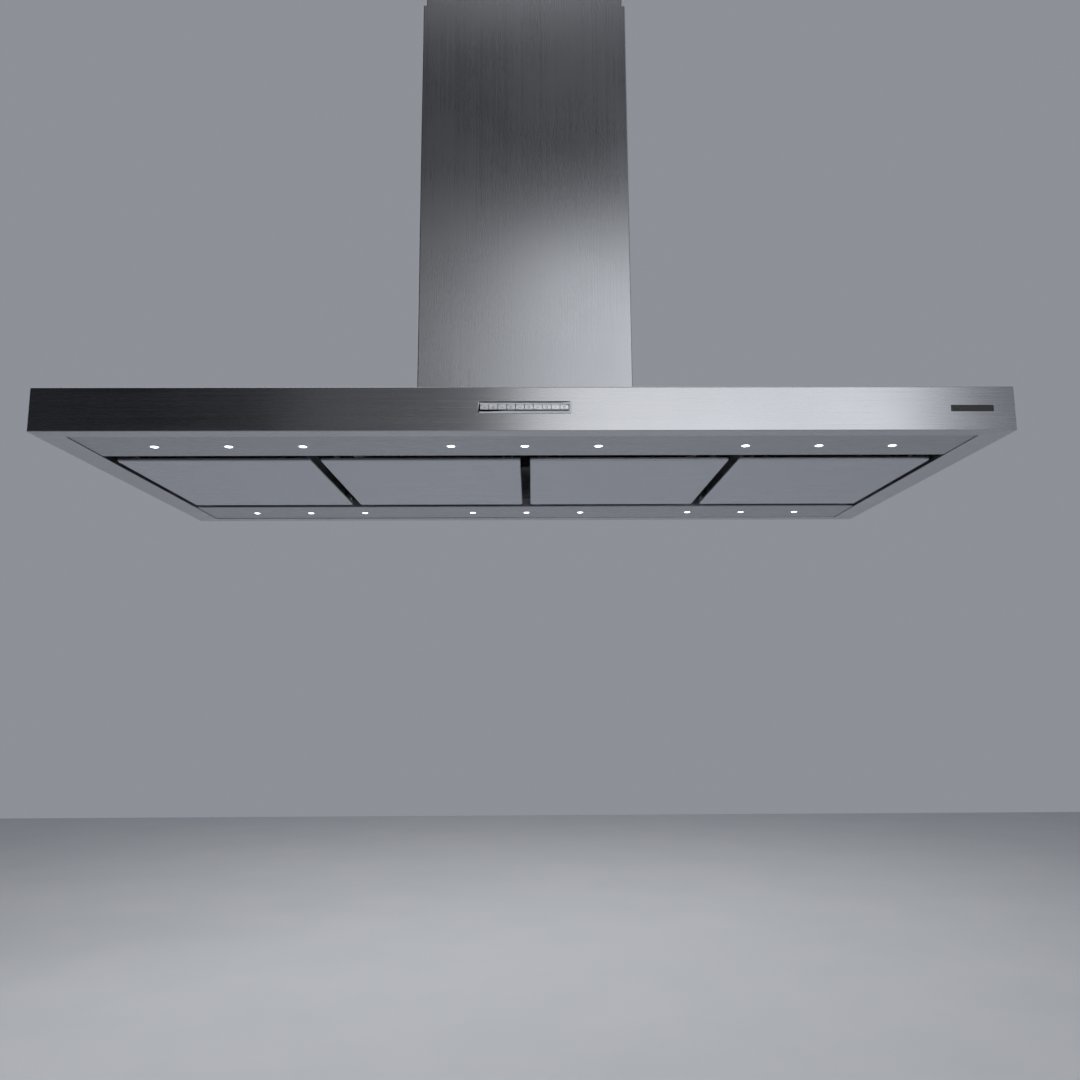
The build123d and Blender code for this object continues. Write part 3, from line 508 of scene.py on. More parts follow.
def grid_faces(rows: int, columns: int, closed: bool, keep: np.ndarray | None = None) -> np.ndarray:
    """Quads between the points of a grid.

    Args:
        rows: Number of rows.
        columns: Points in each row.
        closed: True where a row's last point joins its first.
        keep: Cells to keep, or None for all.

    Returns:
        Array of four point numbers for each quad.
    """
    spans = columns if closed else columns - 1
    row, column = np.meshgrid(np.arange(rows - 1), np.arange(spans), indexing="ij")
    following = (column + 1) % columns
    quads = np.stack([row * columns + column, row * columns + following,
                      (row + 1) * columns + following, (row + 1) * columns + column], axis=-1)
    return quads[keep] if keep is not None else quads.reshape(-1, 4)


def grain_coordinates(mesh: bpy.types.Mesh, grain: Grain) -> None:
    """Lays a UV map flat on each face, in metres, with U along the brushing.

    A level face takes X and Y, a face towards -Y or +Y takes X and Z, and an end face Y and Z;
    upright brushing swaps the two on upright faces. Round a rim, the level faces nearer to the left or
    right edge than to the front or rear one swap them too.

    Args:
        mesh: Mesh that gets the map.
        grain: Which way the brushing runs.
    """
    points = read(mesh.vertices, "co", 3)
    facing = np.abs(read(mesh.polygons, "normal", 3)).argmax(axis=1)
    facing = np.repeat(facing, read(mesh.polygons, "loop_total", kind=int))
    place = points[read(mesh.loops, "vertex_index", kind=int)]
    corner = np.arange(len(place))
    across = place[corner, np.array([1, 0, 0])[facing]]
    along = place[corner, np.array([2, 2, 1])[facing]]
    if grain is Grain.UPRIGHT:
        across, along = along, across
    if grain is Grain.ROUND_RIM:
        reach = np.abs(points).max(axis=0)
        sideways = (facing == 2) & (place[:, 2] < points[:, 2].mean())
        sideways &= reach[0] - np.abs(place[:, 0]) < reach[1] - np.abs(place[:, 1])
        across, along = np.where(sideways, along, across), np.where(sideways, across, along)
    layer = mesh.uv_layers.new(name=GRAIN_MAP)
    layer.data.foreach_set("uv", np.column_stack([across, along]).ravel())


def face_outwards(mesh: bpy.types.Mesh) -> None:
    """Turns every face over if, added up by area, they look towards the mesh's middle.

    Args:
        mesh: Mesh to turn.
    """
    centres, normals = read(mesh.polygons, "center", 3), read(mesh.polygons, "normal", 3)
    areas = read(mesh.polygons, "area")
    middle = (centres * areas[:, None]).sum(axis=0) / areas.sum()
    if (((centres - middle) * normals).sum(axis=1) * areas).sum() < 0:
        mesh.flip_normals()


def make_piece(name: str, points: np.ndarray, faces: Iterable, grain: Grain = Grain.LENGTHWISE,
               smooth: bool = False) -> bpy.types.Object:
    """Puts points and faces into a new object at the origin.

    Args:
        name: Name of the piece.
        points: Array of XYZ.
        faces: Point numbers of each face.
        grain: Which way the brushing runs.
        smooth: True for a surface without folds.

    Returns:
        The new object.
    """
    mesh = bpy.data.meshes.new(name)
    mesh.from_pydata(points.reshape(-1, 3).tolist(), [], [list(map(int, face)) for face in faces])
    mesh.update()
    face_outwards(mesh)
    grain_coordinates(mesh, grain)
    mesh.polygons.foreach_set("use_smooth", np.full(len(mesh.polygons), smooth))
    return add_object(name, mesh)


def give_thickness(piece: bpy.types.Object, thickness: float) -> None:
    """Gives a surface its sheet thickness on the inner side, with closed edges.

    Args:
        piece: The surface.
        thickness: Thickness of the sheet.
    """
    solidify = piece.modifiers.new("sheet", "SOLIDIFY")
    solidify.thickness = thickness
    solidify.offset = -1.0
    solidify.use_even_offset = True


def revolve(name: str, profile: Sequence[tuple[float, float]], centres: Sequence[Sequence[float]],
            spans: int = 40, smooth: bool = True, closed: bool = True) -> bpy.types.Object:
    """Turns a profile about upright axes, once for each centre.

    A point is centre + (r cos a, r sin a, z) for each profile point (r, z) and angle a.

    Args:
        name: Name of the piece.
        profile: Radius and height of each point, from one pole or rim to the other.
        centres: XYZ of each axis.
        spans: Faces round each turn.
        smooth: True for soft shading.
        closed: True to close both ends with a flat cap.

    Returns:
        The new object, all turns in one mesh.
    """
    radius, height = np.array(profile).T
    angle = np.linspace(0, 2 * math.pi, spans, endpoint=False)
    turned = np.stack([radius[:, None] * np.cos(angle), radius[:, None] * np.sin(angle),
                       np.repeat(height[:, None], spans, axis=1)], axis=-1)
    points = np.asarray(centres)[:, None, None, :] + turned[None]
    quads = grid_faces(len(radius), spans, True)
    caps = [list(range(spans))[::-1], list(range((len(radius) - 1) * spans, len(radius) * spans))]
    faces: list = []
    for index in range(len(centres)):
        base = index * turned.shape[0] * spans
        faces.extend((quads + base).tolist())
        faces.extend([[point + base for point in cap] for cap in caps] if closed else [])
    piece = make_piece(name, points, faces, smooth=smooth)
    reach = np.tile(np.repeat(radius / radius.max(), spans), len(centres))
    reach = reach[read(piece.data.loops, "vertex_index", kind=int)]
    flat = np.column_stack([reach, np.zeros(len(reach))])
    piece.data.uv_layers[GRAIN_MAP].data.foreach_set("uv", flat.ravel())
    return piece


def drill(piece: bpy.types.Object, centres: Sequence[Sequence[float]], radius: float, depth: float) -> None:
    """Cuts round upright holes and keeps the result as the piece's own mesh.

    Args:
        piece: Piece to drill; its modifiers are applied first.
        centres: XYZ of the middle of each hole.
        radius: Radius of the holes.
        depth: Length of the drill.
    """
    bit = revolve("drill", [(radius, -depth / 2), (radius, depth / 2)], centres, spans=32, smooth=False)
    cut = piece.modifiers.new("holes", "BOOLEAN")
    cut.operation = "DIFFERENCE"
    cut.solver = "EXACT"
    cut.object = bit
    result = bpy.data.meshes.new_from_object(piece.evaluated_get(bpy.context.evaluated_depsgraph_get()))
    piece.modifiers.clear()
    piece.data = result
    bpy.data.objects.remove(bit)


def softened_copy(node: str, name: str, width: float, segments: int = 2) -> bpy.types.Object:
    """Copies a frame node's mesh, merges it and rounds its sharp edges.

    Args:
        node: Frame node to copy.
        name: Name of the piece.
        width: Width of the rounding.
        segments: Spans in the rounding.

    Returns:
        The new object.
    """
    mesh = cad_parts[node].data.copy()
    mesh.name = name
    work = bmesh.new()
    work.from_mesh(mesh)
    bmesh.ops.remove_doubles(work, verts=work.verts, dist=0.002 * MM)
    bmesh.ops.dissolve_limit(work, angle_limit=math.radians(1.0), verts=work.verts, edges=work.edges)
    work.to_mesh(mesh)
    work.free()
    mesh.materials.clear()
    if GRAIN_MAP not in mesh.uv_layers:
        grain_coordinates(mesh, Grain.LENGTHWISE)
    piece = add_object(name, mesh)
    bevel = piece.modifiers.new("edges", "BEVEL")
    bevel.width = width
    bevel.segments = segments
    bevel.limit_method = "ANGLE"
    bevel.angle_limit = math.radians(25)
    return piece


def profile_run(name: str, section: Sequence[tuple[float, float]], ends: tuple[float, float],
                along: str, facing: Sequence[float]) -> bpy.types.Object:
    """Carries an open section along a straight line: each end repeats the section's points.

    Args:
        name: Name of the piece.
        section: The two coordinates across the line, point by point.
        ends: Start and end along the line.
        along: "x" or "y", the axis of the line.
        facing: Direction that the outer side of the section's middle run looks in.

    Returns:
        The new surface, one point row at each end.
    """
    across = np.array(section)
    rows = []
    for end in ends:
        line = np.full(len(across), end)
        order = (line, across[:, 0], across[:, 1]) if along == "x" else (across[:, 0], line, across[:, 1])
        rows.append(np.column_stack(order))
    piece = make_piece(name, np.array(rows), grid_faces(2, len(across), False))
    middle = piece.data.polygons[len(piece.data.polygons) // 2]
    if middle.normal.dot(Vector(facing)) < 0:
        piece.data.flip_normals()
    return piece


def folded(corners: Sequence[tuple[float, float]], radius: float,
           steps: int = 5) -> list[tuple[float, float]]:
    """Rounds every inner corner of a polyline with right-angled turns.

    Each corner becomes a quarter circle that touches both runs one radius from the corner.

    Args:
        corners: Points of the polyline.
        radius: Radius of the folds.
        steps: Spans in each arc.

    Returns:
        Points of the rounded line.
    """
    line = [corners[0]]
    for before, here, after in zip(corners, corners[1:], corners[2:]):
        back = (np.array(before) - here) / np.linalg.norm(np.array(before) - here)
        ahead = (np.array(after) - here) / np.linalg.norm(np.array(after) - here)
        middle = np.array(here) + radius * (back + ahead)
        for turn in np.radians(np.linspace(0, 90, steps + 1)):
            line.append(tuple(middle - radius * (ahead * math.cos(turn) + back * math.sin(turn))))
    line.append(corners[-1])
    return line


# ------------------------------------------------------------------ sub-assemblies

@dataclass
class Maker:
    """What every sub-assembly needs: the wardrobe and one way to hand a piece over."""

    wardrobe: Wardrobe

    def hand_over(self, piece: bpy.types.Object, body: str, finish: Finish, slot: str, *nodes: str) -> None:
        """Dresses a finished piece, hangs it on its body, hides the frame nodes that it stands for, and
        reports it.

        Args:
            piece: The finished piece.
            body: Frame body that it rides on.
            finish: Its finish.
            slot: Material slot of the record; not used.
            nodes: Frame nodes that it stands for.
        """
        self.wardrobe.dress(piece, finish)
        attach(piece, body)
        if nodes:
            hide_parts(*nodes)
        LOG.info("%s rides on %s", piece.name, body)


@dataclass
class Canopy(Maker):
    """The shallow folded box: top plate, fascias, rim round the underside and its up-turned lip."""

    sheet: float = 1.2 * MM
    bend: float = 1.5 * MM
    rim_side: float = 36.5 * MM
    rim_front: float = 23.0 * MM
    lip: float = 8.0 * MM
    intake_half: float = 112.0 * MM
    window_margin: float = 0.9 * MM

    def build(self) -> None:
        """Makes the skin as one stack of rings, open at the intake, the key window and the mitres."""
        low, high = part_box("canopy_shell")
        half = (high.x, high.y)
        rim = (half[0] - self.rim_side, half[1] - self.rim_front)
        window_low, window_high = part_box("control_bezel")
        left, right = window_low.x + self.window_margin, window_high.x - self.window_margin
        sill, head = window_low.z + self.window_margin, window_high.z - self.window_margin / 2
        levels = [(self.intake_half, self.intake_half, SHARP, high.z)]
        levels += quarter_bend(half, high.z, self.bend, True)
        levels += [(*half, self.bend, head), (*half, self.bend, sill)]
        fascia_row = len(levels) - 2
        levels += quarter_bend(half, low.z, self.bend, False)
        rim_row = len(levels) - 1
        levels += [(*rim, SHARP, low.z), (*rim, SHARP, low.z + self.sheet + self.lip)]
        points = stack_rings(levels, stops=((-1, left), (-1, right)))
        columns = points.shape[1]
        keep = np.ones((len(levels) - 1, columns), bool)
        window = np.isclose(points[fascia_row, :, 0], left) & (points[fascia_row, :, 1] < 0)
        keep[fascia_row, np.flatnonzero(window)[0]] = False
        mitres = (CORNER_STEPS + 1) * np.arange(4) + CORNER_STEPS // 2
        keep[rim_row, mitres] = False
        faces = grid_faces(len(levels), columns, True, keep)
        skin = make_piece("canopy_skin", points, faces, Grain.ROUND_RIM)
        give_thickness(skin, self.sheet)
        self.hand_over(skin, "hood", STAINLESS_FLAT, "brushed_stainless", "canopy_shell")


@dataclass
class LightStrips(Maker):
    """The two folded channels in the underside with their lenses and heat sinks."""

    sheet: float = 1.2 * MM
    bend: float = 1.5 * MM
    flange_rise: float = 9.2 * MM       # top of the outer flange above the canopy's underside
    lens_radius: float = 5.0 * MM
    lens_rise: float = 4.5 * MM
    lens_skirt: float = 0.6 * MM        # cylindrical rim between the dome and the strip
    hole_play: float = 0.2 * MM
    drill_depth: float = 6.0 * MM
    group_gap: float = 20.0 * MM        # more than a lens's width, less than the spots' spacing
    ring_sheet: float = 0.2 * MM
    sink_radius: float = 9.0 * MM
    sink_core: float = 0.62             # radius between the fins, as a share of theirs
    fin: float = 1.4 * MM
    fin_pitch: float = 2.6 * MM

    def spots(self, side: int) -> list[tuple[float, float]]:
        """Reads one row's spots from the lens solids of the frame.

        Args:
            side: -1 for the front row, 1 for the rear row.

        Returns:
            X and Y of each spot's middle.
        """
        points = read(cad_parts["led_lenses"].data.vertices, "co", 3)
        row = points[points[:, 1] * side > 0]
        xs = np.sort(row[:, 0])
        groups = np.split(xs, np.flatnonzero(np.diff(xs) > self.group_gap) + 1)
        middle_y = (row[:, 1].min() + row[:, 1].max()) / 2
        return [((group.min() + group.max()) / 2, middle_y) for group in groups]

    def channel(self, side: int, node: str, name: str) -> None:
        """Folds one channel: outer flange, level face with the lens holes, inner flange.

        Args:
            side: -1 for the front strip, 1 for the rear strip.
            node: Frame node of the strip.
            name: Name of the piece.
        """
        low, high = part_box(node)
        inner, outer = (low.y, high.y) if side > 0 else (high.y, low.y)
        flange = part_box("canopy_shell")[0].z + self.flange_rise
        section = folded([(outer, flange), (outer, low.z), (inner, low.z), (inner, high.z)], self.bend)
        strip = profile_run(name, section, (low.x, high.x), "x", facing=(0.0, 0.0, -1.0))
        give_thickness(strip, self.sheet)
        centres = [(x, y, low.z) for x, y in self.spots(side)]
        drill(strip, centres, self.lens_radius + self.hole_play, self.drill_depth)
        # The channels take the stainless whose colour is darkened with painted shade.
        self.hand_over(strip, "hood", STAINLESS_STRIP_PAINTED_SHADE, "brushed_stainless", node)

    def lenses(self) -> None:
        """Turns the domed lenses, from the dome's pole to the rim inside the strip."""
        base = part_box("led_lenses")[0].z + self.lens_skirt
        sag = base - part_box("canopy_shell")[0].z
        turn = np.radians(np.linspace(3, 90, 10))
        dome = np.column_stack([self.lens_radius * np.sin(turn), base - sag * np.cos(turn)])
        rim = (self.lens_radius, base - self.lens_skirt + self.lens_rise)
        lenses = revolve("led_lens_domes", [*dome, rim], self.axes())
        self.hand_over(lenses, "hood", LED_GLOW, "led_lens", "led_lenses")

    def trim_rings(self) -> None:
        """Turns the thin rings round the lenses: a steep inner wall, a round crest and a flat slope."""
        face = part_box("front_light_strip")[0].z
        section = ((0.25, 0.0), (0.3, 0.55), (0.7, 0.7), (1.2, 0.6), (2.3, 0.0))
        trim = [(self.lens_radius + out * MM, face - drop * MM) for out, drop in section]
        rings = revolve("led_trim_rings", trim, self.axes(), closed=False)
        give_thickness(rings, self.ring_sheet)
        self.hand_over(rings, "hood", CHROME_KEYS, "led_housing")

    def heat_sinks(self) -> None:
        """Turns the finned bodies above the lenses, fin by fin, with a thicker fin on top."""
        seat, top = (corner.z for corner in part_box("led_bodies"))
        core = self.sink_radius * self.sink_core
        fins = [(self.lens_radius + 0.05 * MM, seat)]
        height = seat
        while height < top - 2 * MM:
            fins += [(self.sink_radius, height), (self.sink_radius, height + self.fin),
                     (core, height + self.fin), (core, height + self.fin_pitch)]
            height += self.fin_pitch
        fins += [(self.sink_radius, height), (self.sink_radius, top)]
        sinks = revolve("led_heat_sinks", fins, self.axes(), spans=24, smooth=False)
        self.hand_over(sinks, "hood", CAST_ALUMINIUM, "led_housing", "led_bodies")

    def axes(self) -> list[tuple[float, float, float]]:
        """Gives the foot of every spot's upright axis, front row first."""
        return [(x, y, 0.0) for side in (-1, 1) for x, y in self.spots(side)]

    def build(self) -> None:
        """Makes both channels, the lenses, their rings and the heat sinks."""
        self.channel(-1, "front_light_strip", "front_strip_channel")
        self.channel(1, "rear_light_strip", "rear_strip_channel")
        self.lenses()
        self.trim_rings()
        self.heat_sinks()


@dataclass
class Cassette(Maker):
    """One suction panel: a flat tray with its rails, hinge ears and grease filter."""

    number: int = 1                     # from the left
    sheet: float = 1.0 * MM
    tray_bend: float = 2.4 * MM
    filter_bend: float = 1.3 * MM
    depth: float = 304.0 * MM
    rise: float = 4.4 * MM
    rail_inset: float = 32.0 * MM
    rail_half: float = 8.0 * MM
    rail_foot: float = 5.0 * MM
    rail_sheet: float = 0.8 * MM
    rail_ends: tuple[float, float] = (-140.0 * MM, 130.0 * MM)
    ear_inset: float = 7.5 * MM
    ear_sheet: float = 1.5 * MM
    ear_ends: tuple[float, float] = (128.0 * MM, 150.5 * MM)
    ear_nose: float = 5.0 * MM          # radius round the hinge pin
    ear_rise: float = 9.0 * MM          # height of the ear's front edge
    flange: float = 12.0 * MM
    strand_pitch: float = 12.0 * MM     # length of one diamond, drawn larger than real so that it shows
    strand_width: float = 1.1 * MM
    strand_height: float = 0.6 * MM
    strand_tilt: float = 0.35 * MM
    strand_samples: int = 8             # points on each diamond
    mesh_margin: float = 2.5 * MM
    mouth_corner: float = 0.5 * MM
    layer_depth: float = 2.2 * MM       # from the frame's face to the middle of the layer inside it

    def tray(self) -> None:
        """Folds one tray: level face, round fold and return, all round."""
        node = f"panel_{self.number}"
        low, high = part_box(node)
        half = ((high.x - low.x) / 2, self.depth / 2)
        centre = ((high.x + low.x) / 2, 0.0)
        levels = quarter_bend(half, low.z, self.tray_bend, False)[::-1]
        levels += [(*half, self.tray_bend, low.z + self.rise)]
        points = stack_rings(levels, centre)
        faces = grid_faces(len(levels), points.shape[1], True).tolist()
        faces.append(list(range(points.shape[1]))[::-1])
        tray = make_piece(f"panel_tray_{self.number}", points, faces)
        give_thickness(tray, self.sheet)
        self.hand_over(tray, f"cassette_{self.number}", STAINLESS_PANEL, "brushed_stainless", node)

    def rails(self) -> None:
        """Folds the two welded hat rails that carry the filter."""
        low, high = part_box(f"panel_{self.number}")
        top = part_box(f"filter_{self.number}")[0].z
        floor = low.z + self.sheet + self.rail_sheet
        half, toe = self.rail_half, self.rail_half + self.rail_foot
        hat = ((-toe, floor), (-half, floor), (-half, top), (half, top), (half, floor), (toe, floor))
        for name, x in (("left", low.x + self.rail_inset), ("right", high.x - self.rail_inset)):
            section = folded([(x + out, z) for out, z in hat], self.rail_sheet, 3)
            rail = profile_run(
                f"panel_rail_{self.number}_{name}", section, self.rail_ends, "y", facing=(0.0, 0.0, 1.0))
            give_thickness(rail, self.rail_sheet)
            self.hand_over(rail, f"cassette_{self.number}", GALVANISED, "brushed_stainless")

    def ears(self) -> None:
        """Cuts the two ears that hold the hinge pins: a plate with a round end about the pin."""
        low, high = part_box(f"panel_{self.number}")
        pin = centre_of(f"hinge_pins_{self.number}")
        floor = low.z + self.sheet
        toe, heel = self.ear_ends
        turn = np.radians(np.linspace(-50, 110, 13))
        nose = np.column_stack([pin.y + self.ear_nose * np.cos(turn), pin.z + self.ear_nose * np.sin(turn)])
        outline = np.concatenate([[(toe, floor), (heel, floor), (heel, floor + self.ear_nose)],
                                  nose, [(toe, floor + self.ear_rise)]])
        for name, edge, inward in (("left", low.x, 1), ("right", high.x, -1)):
            x = edge + inward * self.ear_inset
            slab = np.array([np.column_stack([np.full(len(outline), x + inward * depth), outline])
                             for depth in (0.0, self.ear_sheet)])
            faces = grid_faces(2, len(outline), True).tolist()
            faces += [list(range(len(outline)))[::-1], list(range(len(outline), 2 * len(outline)))]
            ear = make_piece(f"panel_ear_{self.number}_{name}", slab, faces)
            self.hand_over(ear, f"cassette_{self.number}", GALVANISED, "brushed_stainless")

    def filter_frame(self) -> None:
        """Folds the filter's channel frame: top flange, wall and bottom flange."""
        node = f"filter_{self.number}"
        low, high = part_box(node)
        half = ((high.x - low.x) / 2, (high.y - low.y) / 2)
        inner = (half[0] - self.flange, half[1] - self.flange)
        centre = ((high.x + low.x) / 2, (high.y + low.y) / 2)
        mouth = (*inner, self.mouth_corner)
        levels = [(*mouth, high.z)]
        levels += quarter_bend(half, high.z, self.filter_bend, True, 3)
        levels += quarter_bend(half, low.z, self.filter_bend, False, 3)
        levels += [(*mouth, low.z)]
        points = stack_rings(levels, centre)
        faces = grid_faces(len(levels), points.shape[1], True)
        channel = make_piece(f"filter_frame_{self.number}", points, faces)
        give_thickness(channel, self.sheet)
        self.hand_over(channel, f"cassette_{self.number}", MESH_ALUMINIUM, "filter_aluminium", node)

    def expanded_mesh(self, name: str, z: float) -> None:
        """Lays one layer of expanded mesh: rows of waves, each the mirror of the next, that touch.

        Row k follows y = y_k + a cos(2 pi x / p) (-1)^k, with rows 2 a apart, and each strand is a flat
        bar whose height also rises and falls a little, as the slit metal does when it is pulled open.

        Args:
            name: Name of the layer.
            z: Height of the layer's middle.
        """
        low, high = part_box(f"filter_{self.number}")
        margin = self.mesh_margin
        amplitude = self.strand_pitch / 4
        samples = int((high.x - low.x - 2 * margin) / (self.strand_pitch / self.strand_samples))
        x = np.linspace(low.x + margin, high.x - margin, samples)
        rows = np.arange(low.y + margin + amplitude, high.y - margin - amplitude, 2 * amplitude)
        sign = np.where(np.arange(len(rows)) % 2 == 0, 1.0, -1.0)
        phase = 2 * math.pi * (x - low.x) / self.strand_pitch
        y = rows[:, None] + amplitude * np.cos(phase)[None, :] * sign[:, None]
        tilt = self.strand_tilt * np.sin(phase)[None, :] * sign[:, None]
        across = np.array([(-1, -1), (1, -1), (1, 1), (-1, 1)]) / 2
        bars = np.stack([
            np.broadcast_to(x[None, :, None], (len(rows), samples, 4)),
            y[:, :, None] + across[None, None, :, 0] * self.strand_width,
            z + tilt[:, :, None] + across[None, None, :, 1] * self.strand_height], axis=-1)
        starts = np.arange(len(rows)) * samples * 4
        sides = (grid_faces(samples, 4, True)[None] + starts[:, None, None]).reshape(-1, 4)
        near = starts[:, None] + np.array([3, 2, 1, 0])
        far = starts[:, None] + (samples - 1) * 4 + np.arange(4)
        layer = make_piece(f"filter_mesh_{self.number}_{name}", bars, np.concatenate([sides, near, far]))
        self.hand_over(layer, f"cassette_{self.number}", MESH_ALUMINIUM, "filter_aluminium")

    def build(self) -> None:
        """Makes the whole cassette."""
        self.tray()
        self.rails()
        self.ears()
        self.filter_frame()
        low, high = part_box(f"filter_{self.number}")
        self.expanded_mesh("upper", high.z - self.layer_depth)
        self.expanded_mesh("lower", low.z + self.layer_depth)


@dataclass
class SuctionPanels(Maker):
    """The four cassettes side by side."""

    count: int = 4

    def build(self) -> None:
        """Makes them from left to right."""
        for number in range(1, self.count + 1):
            Cassette(self.wardrobe, number).build()


@dataclass
class Chimney(Maker):
    """The two square covers, each one sheet folded round to a butt seam at the rear."""

    bend: float = 1.8 * MM
    seam: float = 0.4 * MM
    lower_sheet: float = 1.0 * MM
    upper_sheet: float = 0.8 * MM

    def cover(self, node: str, name: str, body: str, sheet: float) -> None:
        """Folds one cover and leaves the slit of its seam open.

        Args:
            node: Frame node of the cover.
            name: Name of the piece.
            body: Body that it rides on.
            sheet: Thickness of its sheet.
        """
        low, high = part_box(node)
        levels = [(high.x, high.y, self.bend, z) for z in (low.z, high.z)]
        stops = ((1, -self.seam / 2), (1, self.seam / 2))
        points = stack_rings(levels, stops=stops)
        keep = np.ones((1, points.shape[1]), bool)
        rear = (points[0, :, 1] > 0) & np.isclose(points[0, :, 0], self.seam / 2)
        keep[0, np.flatnonzero(rear)[0]] = False
        skin = make_piece(name, points, grid_faces(2, points.shape[1], True, keep), Grain.UPRIGHT)
        give_thickness(skin, sheet)
        self.hand_over(skin, body, STAINLESS_COVER, "brushed_stainless", node)

    def build(self) -> None:
        """Makes both covers."""
        self.cover("lower_chimney", "lower_cover_skin", "lower_cover", self.lower_sheet)
        self.cover("upper_chimney", "upper_cover_skin", "ceiling_mount", self.upper_sheet)


@dataclass
class Key(Maker):
    """One chrome key with rounded edges and a plain mark printed on its face."""

    number: int = 1                     # from the left
    edge: float = 0.45 * MM
    mark_line: float = 0.45 * MM
    mark_reach: float = 1.5 * MM
    mark_height: float = 0.3            # of the key's height, from its lower edge
    mark_film: float = 0.1 * MM

    def mark(self) -> np.ndarray:
        """Draws a bar on odd keys and a ring on even ones.

        Returns:
            Two rows of X and Z about the mark's middle.
        """
        if self.number % 2:
            half, line = self.mark_reach, self.mark_line / 2
            return np.array([[(-half, -line), (half, -line)], [(-half, line), (half, line)]])
        turn = np.linspace(0, 2 * math.pi, 25)
        circle = np.column_stack([np.cos(turn), np.sin(turn)])
        return np.array([circle * (self.mark_reach - self.mark_line), circle * self.mark_reach])

    def build(self) -> None:
        """Makes the cap and the mark."""
        node, body = f"key_{self.number}", f"key_{self.number}_body"
        cap = softened_copy(node, f"key_cap_{self.number}", self.edge, 3)
        self.hand_over(cap, body, CHROME_KEYS, "key_metal", node)
        low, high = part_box(node)
        rows = self.mark()
        x = rows[..., 0] + (low.x + high.x) / 2
        z = rows[..., 1] + low.z + (high.z - low.z) * self.mark_height
        points = np.stack([x, np.full(x.shape, low.y - MARK_PROUD), z], axis=-1)
        mark = make_piece(f"key_mark_{self.number}", points, grid_faces(2, rows.shape[1], False))
        if mark.data.polygons[0].normal.y > 0:
            mark.data.flip_normals()
        give_thickness(mark, self.mark_film)
        self.hand_over(mark, body, MARK_PRINT, "key_metal")


@dataclass
class ControlCluster(Maker):
    """Ten chrome keys in their frame, with a plain printed mark on each, and the blank badge."""

    keys: int = 10
    plate_edge: float = 0.15 * MM
    lean: float = 0.3                   # how far a key's upper half leans back, for its height
    bar_foot: float = 2.3 * MM          # above the keys' middle
    bar_back: float = 0.34 * MM         # behind the keys' front, still clear of their slopes
    strip_sheet: float = 0.2 * MM
    strip_inset: float = 1.8 * MM

    def chrome_strip(self, name: str, section: Sequence[tuple[float, float]]) -> None:
        """Carries a thin folded chrome strip along the frame, between its two ends.

        Args:
            name: Name of the piece.
            section: Y and Z of each point of its outer side, whose last run leans back.
        """
        low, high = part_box("control_bezel")
        ends = (low.x + self.strip_inset, high.x - self.strip_inset)
        strip = profile_run(name, section, ends, "x", facing=(0.0, -1.0, 0.0))
        give_thickness(strip, self.strip_sheet)
        self.hand_over(strip, "hood", CHROME_KEYS, "key_metal")

    def strips(self) -> None:
        """Adds the bar in front of the keys' upper ends and the lip below the keys."""
        low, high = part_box("control_bezel")
        foot, head = centre_of("key_1").z + self.bar_foot, high.z - 0.5 * MM
        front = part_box("key_1")[0].y + self.bar_back
        self.chrome_strip("key_frame_bar", [(front, foot), (front + self.lean * (head - foot), head)])
        seat = low.y + 0.1 * MM
        sill, brow = low.z + 0.5 * MM, low.z + 2.6 * MM
        nose = seat - self.lean * (brow - sill)
        self.chrome_strip("key_frame_lip", [(seat, sill), (nose, sill), (seat, brow)])

    def build(self) -> None:
        """Makes the keys with their marks, the frame and the badge."""
        for number in range(1, self.keys + 1):
            Key(self.wardrobe, number).build()
        key_frame = softened_copy("control_bezel", "key_frame", self.plate_edge)
        self.hand_over(key_frame, "hood", CHROME_FRAME, "key_metal", "control_bezel")
        self.strips()
        badge = softened_copy("blank_badge", "blank_badge_plate", self.plate_edge)
        self.hand_over(badge, "hood", BADGE_PLATE, "dark_badge", "blank_badge")


@dataclass
class FrameParts(Maker):
    """Pieces whose frame mesh is already right and only need their finish."""

    def finishes(self) -> dict[str, Finish]:
        """Lists the kept nodes.

        Returns:
            Finish of each kept node, by the start of its name.
        """
        kept = (
            (ZINC_PLATE, ("ceiling_plate_screws", "upper_chimney_screws", "light_strip_screws", "post_",
                          "hinge_pins", "motor_shaft", "damper_pin")),
            (GALVANISED, ("ceiling_plate", "upper_posts", "lower_posts", "plenum_box", "hinge_brackets",
                          "motor_bracket")),
            (MAGNET_SHELL, ("latch_magnets",)),
            (BOARD_EPOXY, ("control_board",)),
            (BLOWER_PP, ("volute", "inlet_rings", "impeller")),
            (MOTOR_ENAMEL, ("motor",)),
            (COLLAR_ABS, ("outlet_collar", "damper_flap", "cable_gland")),
            (BOX_ABS, ("electronics",)),
            (CAPACITOR_CAN, ("run_capacitor",)),
            (LOOM_SHEATH, ("wiring_loom",)))
        return {start: finish for finish, starts in kept for start in starts}

    def build(self) -> None:
        """Dresses every kept node with the finish whose key matches the start of its name best."""
        table = self.finishes()
        for name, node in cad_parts.items():
            keys = [key for key in table if name.startswith(key)]
            if keys:
                self.wardrobe.dress(node, table[max(keys, key=len)])
                LOG.info("%s keeps its frame mesh", name)


# ------------------------------------------------------------------ studio

